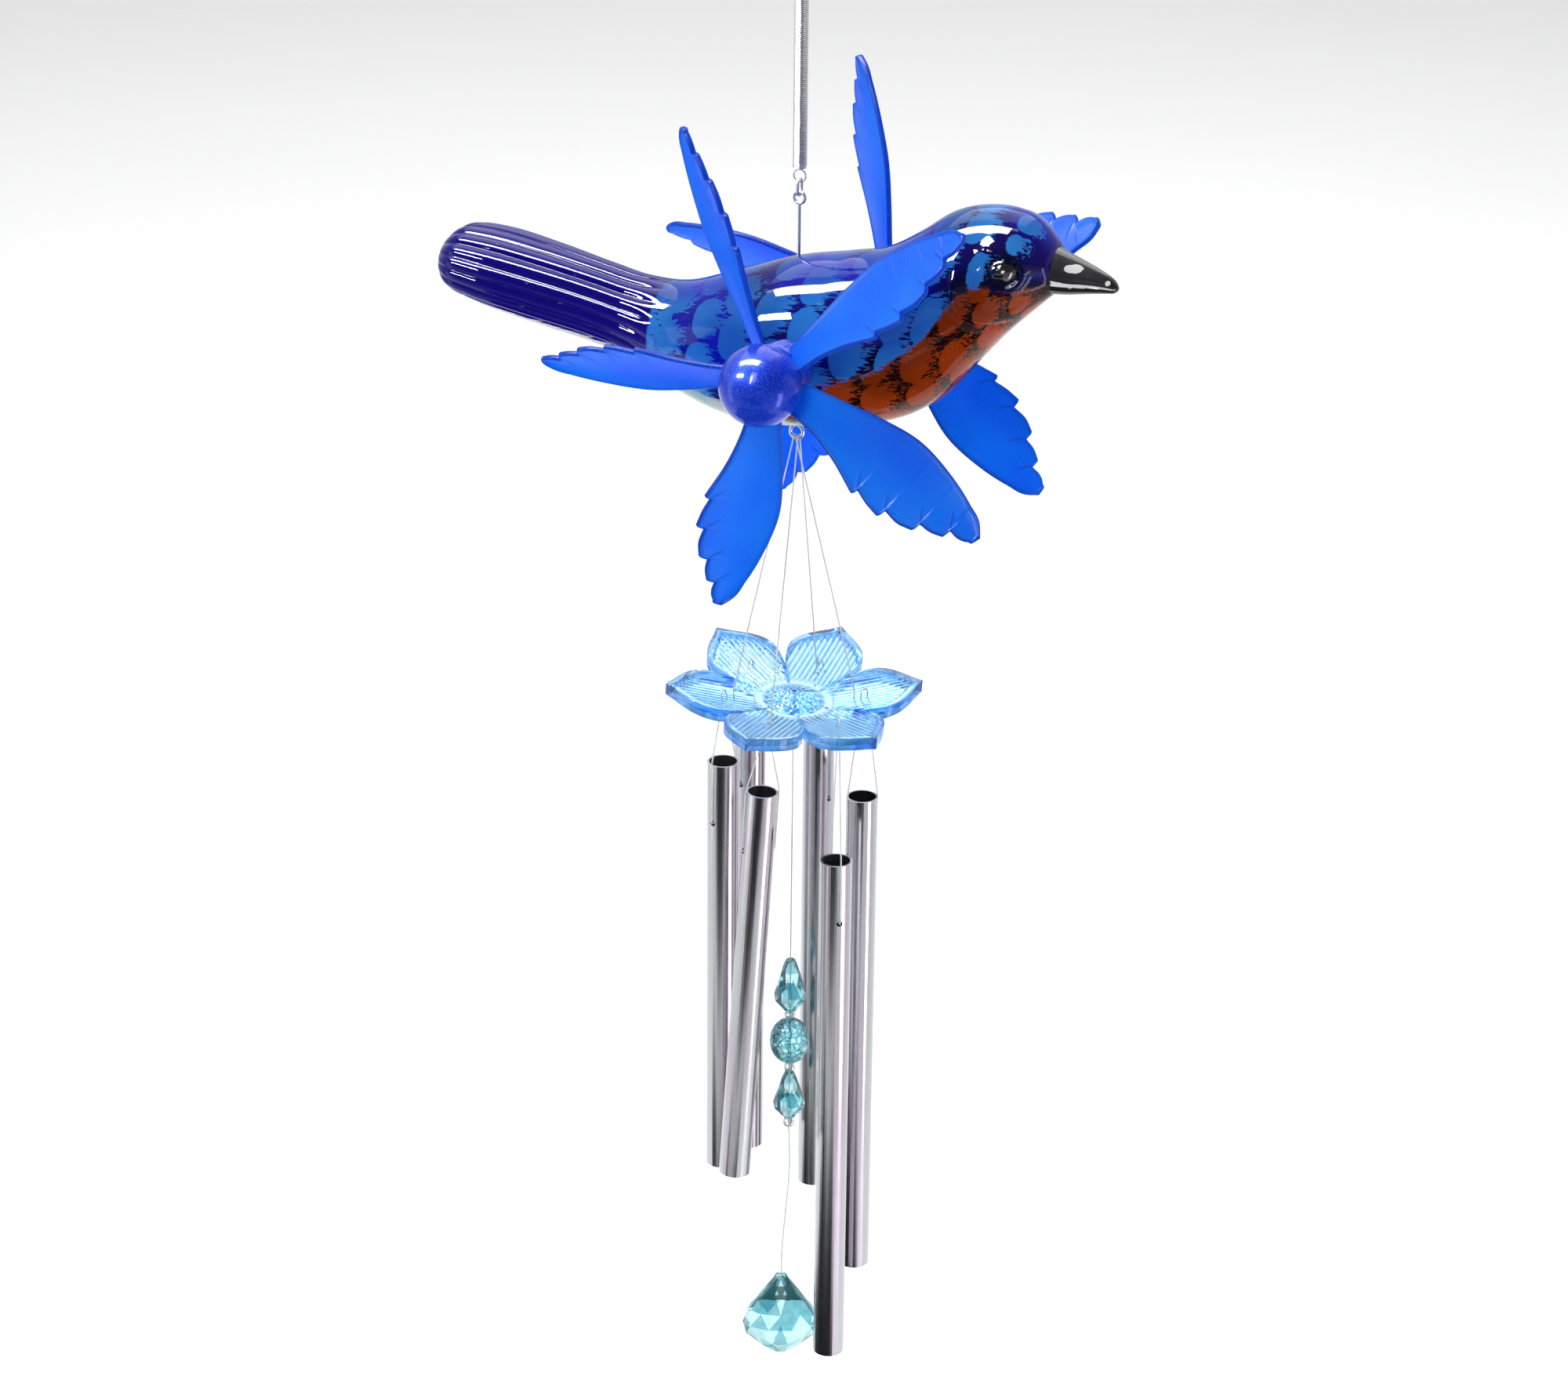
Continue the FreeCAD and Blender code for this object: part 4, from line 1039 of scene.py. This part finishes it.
class WHIRLIGIG_OT_flower(bpy.types.Operator):
    """Clear flower: a polar grid under a six-petal outline; height is bowl + ribs + border + knobbed dome"""
    bl_idname = "whirligig.flower"
    bl_label = "Flower"

    def execute(self, context):
        settings = context.scene.whirligig_chime
        turns, rings = 900, 78
        angle = np.linspace(0, 2 * np.pi, turns, endpoint=False)
        share = np.concatenate([np.linspace(0, 0.9, rings - 13), 0.9 + 0.1 * np.sin(np.linspace(0, np.pi / 2, 14))[1:]])
        reach = petal_reach(angle)
        hole = 0.9
        radius = hole + share[:, None] * (reach - hole)[None, :]
        turn = np.broadcast_to(angle[None, :], radius.shape)
        petal = np.round(np.degrees(turn) / 60) * 60
        off = turn - np.radians(petal)
        across = radius * np.sin(off)
        bowl = 7.5 * np.clip((radius - 14) / 37, 0, None) ** 1.15
        to_edge = (reach[None, :] - radius) * 0.72
        spacing = settings.rib_spacing / MM
        ribs = 0.6 * np.abs(np.sin(np.pi * across / spacing)) * ramp(radius, 14, 17) * ramp(to_edge, 2.0, 3.0)
        border = 0.9 * ramp(to_edge, 2.9, 2.0) * ramp(radius, 12, 20)
        valley = -0.5 * near(np.abs(np.degrees(off)), 30, 2.2) * ramp(radius, 12, 15)
        knobs = 0.4 * np.sin(radius * 1.9) * np.sin(turn * 16 + radius)
        dome = np.clip(4.0 * (1 - (radius / 12.4) ** 2), 0, None)
        dome = dome + knobs * ramp(radius, 12.4, 10.5) * ramp(radius, 0.5, 2)
        top = bowl + ribs + border + valley + dome
        rounding = 0.45 * (1 - np.sqrt(np.clip(1 - np.clip(1 - to_edge / 0.5, 0, 1) ** 2, 0, 1)))
        upper = flower_points(radius * np.cos(turn), radius * np.sin(turn), top - rounding)
        low_share = np.concatenate([[1.0, 0.985], np.linspace(0.93, 0, 24)])
        low_radius = hole + low_share[:, None] * (reach - hole)[None, :]
        low_turn = np.broadcast_to(angle[None, :], low_radius.shape)
        low_edge = (reach[None, :] - low_radius) * 0.72
        low_bowl = 7.5 * np.clip((low_radius - 14) / 37, 0, None) ** 1.15
        hollow = 1.9 * ramp(low_edge, 1.0, 1.9)
        low_height = low_bowl - 4.6 + hollow + 0.3 * (low_edge < 0.2)
        lower = flower_points(low_radius * np.cos(low_turn), low_radius * np.sin(low_turn), low_height)
        points = np.concatenate([upper, lower])
        # painted shade: the plate is coloured deeper in the rib grooves, along the lips, in the valleys between petals,
        # between the knobs and underneath near the rim, for the dark that the clear plate shows there
        groove = (1 - np.abs(np.sin(np.pi * across / spacing))) * ramp(radius, 14, 17) * ramp(to_edge, 2.2, 3.2)
        lips = np.maximum(near(to_edge, 2.5, 0.6), near(to_edge, 0.2, 0.7))
        deep = np.maximum(0.95 * groove, 0.8 * lips)
        deep = np.maximum(deep, 0.9 * near(np.abs(np.degrees(off)), 30, 3) * ramp(radius, 10, 14))
        deep = np.maximum(deep, (0.6 - 1.4 * knobs) * ramp(radius, 13.5, 11.5))
        under = 0.08 + 0.7 * ramp(low_edge, 1.4, 0.4)
        deep = np.concatenate([deep, under])
        faces = join_faces(len(points), turns, wrap_rows=True, wrap_cols=True)
        plate = make_mesh("flower_plate", points, faces, {"deep": deep})
        shade(plate, 38)
        tint, depth = tuple(settings.flower_tint), tuple(settings.flower_deep)
        acrylic = finish_named("flower_acrylic", clear_finish, "flower_acrylic", tint, depth, 0.02)
        place(plate, "chime", acrylic, ["flower"])
        return {"FINISHED"}


def refined(name, node, sharp_degrees):
    """A copy of a CAD node's mesh, its loose triangles merged and smoothed between sharp edges."""
    mesh = frame["nodes"][node].data.copy()
    mesh.name = name
    tidy = bmesh.new()
    tidy.from_mesh(mesh)
    bmesh.ops.remove_doubles(tidy, verts=tidy.verts, dist=1e-6)
    tidy.to_mesh(mesh)
    tidy.free()
    piece = bpy.data.objects.new(name, mesh)
    bpy.context.collection.objects.link(piece)
    if "sharp_face" in mesh.attributes:
        mesh.attributes.remove(mesh.attributes["sharp_face"])
    shade(piece, sharp_degrees)
    return piece


class WHIRLIGIG_OT_tubes(bpy.types.Operator):
    """Chime tubes with their cross holes, smoothed from the frame's own walls"""
    bl_idname = "whirligig.tubes"
    bl_label = "Chime tubes"

    def execute(self, context):
        metal = finish_named("tube_anodised", tube_finish, context.scene.whirligig_chime)
        for number in TUBE_NUMBERS:
            node = "tube_%d" % number
            tube = refined("chime_%s" % node, node, 35)
            place(tube, "chime_tube_%d" % number, metal, [node])
        return {"FINISHED"}


def faceted(name, node, levels, sides, squash=1.0, lean=0.0):
    """Cut bead or gem: rings of corners at shares of the node's height and width, each ring turned half a
    side from the last, so that the facets between them are triangles and kites."""
    middle, extent = box_middle(node)
    top = middle[2] + extent[2] / 2
    widest = max(extent[0], extent[1]) / 2 if squash == 1.0 else 16.0
    rings = []
    for number, (down, share) in enumerate(levels):
        turn = (np.arange(sides) + 0.5 * (number % 2)) * 2 * np.pi / sides
        ring_x = widest * share * np.cos(turn)
        ring_y = widest * share * np.sin(turn) * squash
        x = ring_x * math.cos(lean) - ring_y * math.sin(lean)
        y = ring_x * math.sin(lean) + ring_y * math.cos(lean)
        rings.append(np.stack([x + middle[0], y + middle[1], np.full(sides, top - extent[2] * down)], axis=-1))
    points = np.array(rings) * MM
    triangles = []
    for number in range(len(levels) - 1):
        upper = number * sides + np.arange(sides)
        lower = upper + sides
        ahead = 1 if number % 2 else 0
        next_upper = number * sides + (np.arange(sides) + 1) % sides
        next_lower = next_upper + sides
        if ahead:
            triangles += [np.stack([upper, lower, next_lower], 1), np.stack([upper, next_lower, next_upper], 1)]
        else:
            triangles += [np.stack([upper, lower, next_upper], 1), np.stack([next_upper, lower, next_lower], 1)]
    faces = np.concatenate(triangles)
    piece = make_mesh(name, points, faces)
    close_ends(piece)
    # painted reflection: each facet is pale or deep at random, for the bright and dark surroundings that a cut stone
    # shows in its facets
    layer = piece.data.attributes.new("deep", "FLOAT", "CORNER")
    chosen = np.random.default_rng(11).choice([0.0, 0.0, 0.08, 0.3, 0.8], size=len(piece.data.polygons))
    sides_each = np.array([len(face.vertices) for face in piece.data.polygons])
    layer.data.foreach_set("value", np.repeat(chosen, sides_each).astype(np.float32))
    return piece


class WHIRLIGIG_OT_beads(bpy.types.Operator):
    """Faceted beads, crackle ball, clear spacers and the gem on the lower string"""
    bl_idname = "whirligig.beads"
    bl_label = "Beads and gem"

    def execute(self, context):
        settings = context.scene.whirligig_chime
        tint, deep = tuple(settings.bead_tint), tuple(settings.bead_deep)
        aqua = finish_named("aqua_acrylic", clear_finish, "aqua_acrylic", tint, deep, 0.01, 250, 0.00002)
        crackle = finish_named("crackle_acrylic", crackle_finish, tint, deep)
        clear = finish_named(
            "clear_acrylic", clear_finish, "clear_acrylic", (0.92, 0.95, 0.95), (0.5, 0.55, 0.56), 0.02, 400, 0.00003
        )
        cut = [(0, 0.30), (0.08, 0.42), (0.36, 0.72), (0.66, 1.0), (0.76, 0.97), (0.93, 0.52), (1.0, 0.34)]
        for node in ("bead_top", "bead_bottom"):
            bead = faceted("cut_" + node, node, cut, 8)
            place(bead, "striker", aqua, [node])
        for node, body_finish in (
            ("bead_middle", crackle), ("spacer_bead_1", clear), ("spacer_bead_2", clear), ("spacer_bead_3", clear),
        ):
            middle, extent = box_middle(node)
            wide, tall = extent[0] / 2, extent[2] / 2
            arc = np.linspace(0.09, np.pi - 0.09, 40)
            profile = [(tall * math.cos(a), wide * math.sin(a)) for a in arc]
            profile += [(-tall * 0.99, 0.5), (tall * 0.99, 0.5)]
            bead = lathe("round_" + node, profile, middle * MM, (0, 0, 1), 64)
            shade(bead, 50)
            place(bead, "striker", body_finish, [node])
        drop = [(0, 0.14), (0.05, 0.2), (0.22, 0.5), (0.44, 0.88), (0.62, 1.0), (0.74, 0.95), (0.9, 0.55), (1.0, 0.2)]
        gem = faceted("cut_gem", "wind_gem", drop, 10, squash=0.5, lean=math.radians(24.4))
        place(gem, "catcher", aqua, ["wind_gem"])
        return {"FINISHED"}


# Lines of nylon. Points are in metres and the curve is drawn towards each in turn.
LINE_THICK = 0.0006


def line(name, points, body, node, extra=()):
    """One strand as a smooth curve whose control points are the route's."""
    data = bpy.data.curves.new(name, "CURVE")
    data.dimensions = "3D"
    spline = data.splines.new("NURBS")
    spline.points.add(len(points) - 1)
    for point, place_at in zip(spline.points, points):
        point.co = (*place_at, 1.0)
    spline.order_u = 3
    spline.use_endpoint_u = True
    spline.resolution_u = 12
    data.bevel_depth = LINE_THICK / 2
    data.bevel_resolution = 2
    data.use_fill_caps = True
    piece = bpy.data.objects.new(name, data)
    bpy.context.collection.objects.link(piece)
    place(piece, body, finish_named("nylon_line", nylon_finish), [node])
    return piece


class WHIRLIGIG_OT_lines(bpy.types.Operator):
    """Nylon lines: two loops from the belly eye to the flower, one on each tube, one through the beads and
    one down to the gem"""
    bl_idname = "whirligig.lines"
    bl_label = "Nylon lines"

    def execute(self, context):
        petals = {"a": ((-19.89, -13.24, -317.97), (20.30, 12.93, -320.01)),
                  "b": ((-0.92, 23.73, -316.99), (1.33, -24.05, -320.98))}
        eye_bottom = -212.2
        off, rise = 1.0, 1.277
        for name, beside in (("a", -0.9), ("b", 0.9)):
            start, end = (Vector(point) for point in petals[name])
            side = 1 if start.y > end.y else -1
            route = [start - Vector((0, 0, 4)), start, start + Vector((0, 0, 3))]
            top_start = Vector((beside, side * off, eye_bottom))
            top_end = Vector((beside, -side * off, eye_bottom))
            route.append(top_start + (route[-1] - top_start).normalized() * 3)
            route += [top_start, top_start + Vector((0, 0, rise)), top_end + Vector((0, 0, rise)), top_end]
            below = end + Vector((0, 0, 3))
            route.append(top_end + (below - top_end).normalized() * 3)
            route += [below, end, end - Vector((0, 0, 4))]
            line("support_line_" + name, [tuple(p * MM) for p in route], "chime", "support_cord_" + name)
        for number in TUBE_NUMBERS:
            self.tube_line(number)
        low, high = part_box("striker_cord")
        top, bottom = high[2], low[2]
        route = [(0, 0, top), (0, 0, top - 0.006), (0, 0, (top + bottom) / 2), (0, 0, bottom + 0.006), (0, 0, bottom)]
        line("striker_line", route, "striker", "striker_cord")
        catcher = [(0, 0, -513.3), (0.9, 0.4, -530), (-1.0, -0.5, -556), (-2.2, -1.0, -573), (-2.3, -1.0, -587)]
        line("catcher_line", [tuple(c * MM for c in point) for point in catcher], "catcher", "catcher_cord")
        return {"FINISHED"}

    def tube_line(self, number):
        """From inside one cross hole, up beside the tube, over the petal between its two holes and back."""
        seat, hole_direction, top_drop, lean = TUBE_LOOPS[number]
        seat = Vector(seat)
        across = Vector((math.cos(math.radians(hole_direction)), math.sin(math.radians(hole_direction)), 0))
        top = -top_drop - seat.z
        hole = top - 25.0
        beside, petal = 6.95, 1.5
        under = -6.0
        rim = Vector((beside, top + 0.6))
        slant = Vector((petal, under)) - rim
        after = rim + slant.normalized() * 4
        before = Vector((petal, under)) - slant.normalized() * 3
        half = [
            (0.8, hole), (beside - 1.5, hole), (beside, hole), (beside, hole + 1.5), (beside, top - 3.4), tuple(rim),
            tuple(after), tuple(before), (petal, under), (petal, under + 3), (petal, 1.6),
        ]
        flat = [(out, up) for out, up in half] + [(-out, up) for out, up in reversed(half)]
        view_side = Vector((math.cos(math.radians(24.4)), math.sin(math.radians(24.4)), 0))
        turn = Matrix.Rotation(math.radians(-lean), 3, view_side.cross(Vector((0, 0, 1))))
        points = [seat + turn @ (across * out + Vector((0, 0, up))) for out, up in flat]
        line(
            "tube_line_%d" % number, [tuple(p * MM) for p in points], "chime_tube_%d" % number, "tube_cord_%d" % number
        )


# Petal seat, mm; direction of the cross hole; the tube's top below the hang point; lean.
TUBE_LOOPS = {
    1: ((-23.155, -15.488, -316.998), -105.6, 345.8, 0.0),
    2: ((-24.467, 12.384, -314.671), -102.6, 340.5, 0.0),
    3: ((1.599, -28.094, -320.513), -135.6, 349.0, 3.4),
    4: ((-1.025, 27.651, -315.858), -20.6, 348.5, 0.0),
    5: ((25.041, -12.827, -321.700), -50.6, 380.3, 0.0),
    6: ((23.728, 15.045, -319.372), -125.6, 364.4, 0.0),
}


# ---------------------------------------------------------------- stage

def soft_light(name, at, target, size, power, colour=(1, 1, 1), reflection_only=False):
    data = bpy.data.lights.new(name, "AREA")
    data.shape = "RECTANGLE"
    data.size, data.size_y = size
    data.energy = power
    data.color = colour
    lamp = bpy.data.objects.new(name, data)
    lamp.location = at
    lamp.rotation_euler = (Vector(target) - Vector(at)).to_track_quat("-Z", "Y").to_euler()
    lamp.visible_camera = False
    lamp.visible_diffuse = lamp.visible_transmission = not reflection_only
    bpy.context.collection.objects.link(lamp)


class WHIRLIGIG_OT_stage(bpy.types.Operator):
    """Pale floor well below, soft studio lights, and the camera a little above and in front of the right wing"""
    bl_idname = "whirligig.stage"
    bl_label = "Stage"

    def execute(self, context):
        finish = Finish("pale_floor")
        cloud = finish.noise(finish.objects((2, 2, 2)), 1.0, 2.0)
        finish.link(finish.mix(cloud, rgb(0.93, 0.93, 0.93), rgb(0.96, 0.96, 0.96)), finish.shader.inputs["Base Color"])
        finish.set(Roughness=0.9)
        half, drop = 40.0, CAD_BOX[0][2] - 0.35
        points = np.array([[[-half, -half, drop], [-half, half, drop]], [[half, -half, drop], [half, half, drop]]])
        floor = make_mesh("floor", points, join_faces(2, 2))
        floor.data.materials.append(finish.material)
        world = bpy.data.worlds.new("studio")
        context.scene.world = world
        world.use_nodes = True
        self.light_room(world.node_tree)
        target = (0, 0, -0.25)
        soft_light("key", (0.05, -0.95, 0.60), (0, 0, -0.2), (0.30, 0.55), 6)
        soft_light("top", (-0.40, -0.10, 0.80), (-0.40, -0.101, -0.17), (1.25, 0.10), 3.5)
        soft_light("side", (0.92, -0.18, -0.62), (0, 0, -0.42), (0.22, 0.62), 3.2, (1.0, 0.92, 0.98))
        soft_light("left", (-0.9, -0.5, -0.3), target, (0.3, 1.0), 2, (0.94, 1.0, 0.99))
        soft_light("floor_wash", (-0.6, 1.6, 1.6), (-0.6, 1.6, -1.0), (2.5, 2.5), 55)
        # panels seen only as reflections: over the tail and back, and by the ball hub
        soft_light("gloss_top", (-0.45, -0.20, 0.80), (-0.45, -0.21, -0.17), (1.0, 0.26), 75, reflection_only=True)
        soft_light("gloss_tail", (-0.73, -0.78, 0.45), (-0.73, 0, -0.17), (0.5, 0.16), 48, reflection_only=True)
        soft_light("gloss_front", (-0.05, -1.0, 0.45), (0, 0, -0.17), (0.10, 0.45), 9, reflection_only=True)
        # black cloths seen only as reflections: one upright in front, one flat under the bird
        black = Finish("flag_cloth")
        nap = black.noise(black.objects((40, 40, 40)), 1.0, 2.0)
        felt = black.mix(nap, rgb(0.004, 0.004, 0.004), rgb(0.012, 0.012, 0.012))
        black.link(felt, black.shader.inputs["Base Color"])
        black.set(Roughness=1.0, Specular_IOR_Level=0.0)
        upright = [[(-0.38, -0.93, -0.93), (-0.38, -0.93, -0.42)], [(0.68, -0.93, -0.93), (0.68, -0.93, -0.42)]]
        low = drop + 0.01
        flat = [[(-0.62, -0.78, low), (-0.62, 0.10, low)], [(0.45, -0.78, low), (0.45, 0.10, low)]]
        for name, corners in (("upright_flag", upright), ("flat_flag", flat)):
            flag = make_mesh(name, np.array(corners), join_faces(2, 2))
            flag.data.materials.append(black.material)
            flag.visible_camera = flag.visible_shadow = flag.visible_diffuse = False
        azimuth, elevation, roll = (math.radians(v) for v in (24.4, 23.3, 0.6))
        ground_share = math.cos(elevation)
        back = Vector((ground_share * math.sin(azimuth), -ground_share * math.cos(azimuth), math.sin(elevation)))
        right = Vector((math.cos(azimuth), math.sin(azimuth), 0))
        up = back.cross(right)
        level = Matrix((right, up, back)).transposed()
        camera = bpy.data.objects.new("camera", bpy.data.cameras.new("camera"))
        context.collection.objects.link(camera)
        camera.data.lens = 86.4
        camera.data.sensor_width = 36
        camera.location = (0.5577, -1.2386, 0.2650)
        camera.rotation_euler = (level @ Matrix.Rotation(roll, 3, "Z")).to_euler()
        context.scene.camera = camera
        context.scene.view_settings.view_transform = "Standard"
        return {"FINISHED"}

    def light_room(self, tree):
        """A white room whose near side, where the front of the object looks, is dark."""
        direction = tree.nodes.new("ShaderNodeTexCoord").outputs["Generated"]
        facing = tree.nodes.new("ShaderNodeVectorMath")
        facing.operation = "DOT_PRODUCT"
        facing.inputs[1].default_value = (0.40, -0.89, 0.22)
        tree.links.new(direction, facing.inputs[0])
        shares = tree.nodes.new("ShaderNodeMapRange")
        shares.interpolation_type = "SMOOTHSTEP"
        shares.inputs["From Min"].default_value = -0.1
        shares.inputs["From Max"].default_value = 0.5
        tree.links.new(facing.outputs["Value"], shares.inputs["Value"])
        mix = tree.nodes.new("ShaderNodeMix")
        mix.data_type = "RGBA"
        mix.inputs[6].default_value = (0.96, 0.96, 0.96, 1)
        mix.inputs[7].default_value = (0.16, 0.16, 0.165, 1)
        tree.links.new(shares.outputs["Result"], mix.inputs[0])
        tree.links.new(mix.outputs[2], tree.nodes["Background"].inputs["Color"])


class WHIRLIGIG_PT_panel(bpy.types.Panel):
    """Shows the whirligig's settings and a button for each step"""
    bl_label = "Whirligig"
    bl_idname = "WHIRLIGIG_PT_panel"
    bl_space_type = "VIEW_3D"
    bl_region_type = "UI"
    bl_category = "Whirligig"

    def draw(self, context):
        for group in ("whirligig_bird", "whirligig_propeller", "whirligig_chime"):
            settings = getattr(context.scene, group)
            for name in settings.__annotations__:
                self.layout.prop(settings, name)
        for operator in OPERATORS:
            self.layout.operator(operator.bl_idname)


SETTINGS = {
    "whirligig_bird": BirdSettings,
    "whirligig_propeller": PropellerSettings,
    "whirligig_chime": ChimeSettings,
}
OPERATORS = (
    WHIRLIGIG_OT_stage,
    WHIRLIGIG_OT_lines,
    WHIRLIGIG_OT_hanging_hook,
    WHIRLIGIG_OT_spring,
    WHIRLIGIG_OT_hanger,
    WHIRLIGIG_OT_bird,
    WHIRLIGIG_OT_beak_and_eyes,
    WHIRLIGIG_OT_propellers,
    WHIRLIGIG_OT_bearings,
    WHIRLIGIG_OT_flower,
    WHIRLIGIG_OT_tubes,
    WHIRLIGIG_OT_beads,
)


def register():
    for kind in (*SETTINGS.values(), *OPERATORS, WHIRLIGIG_PT_panel):
        bpy.utils.register_class(kind)
    for name, kind in SETTINGS.items():
        setattr(bpy.types.Scene, name, bpy.props.PointerProperty(type=kind))


def unregister():
    for name in SETTINGS:
        delattr(bpy.types.Scene, name)
    for kind in (WHIRLIGIG_PT_panel, *reversed(OPERATORS), *SETTINGS.values()):
        bpy.utils.unregister_class(kind)


def main():
    register()
    for operator in OPERATORS:
        group, name = operator.bl_idname.split(".")
        getattr(getattr(bpy.ops, group), name)()


if __name__ == "__main__":
    main()
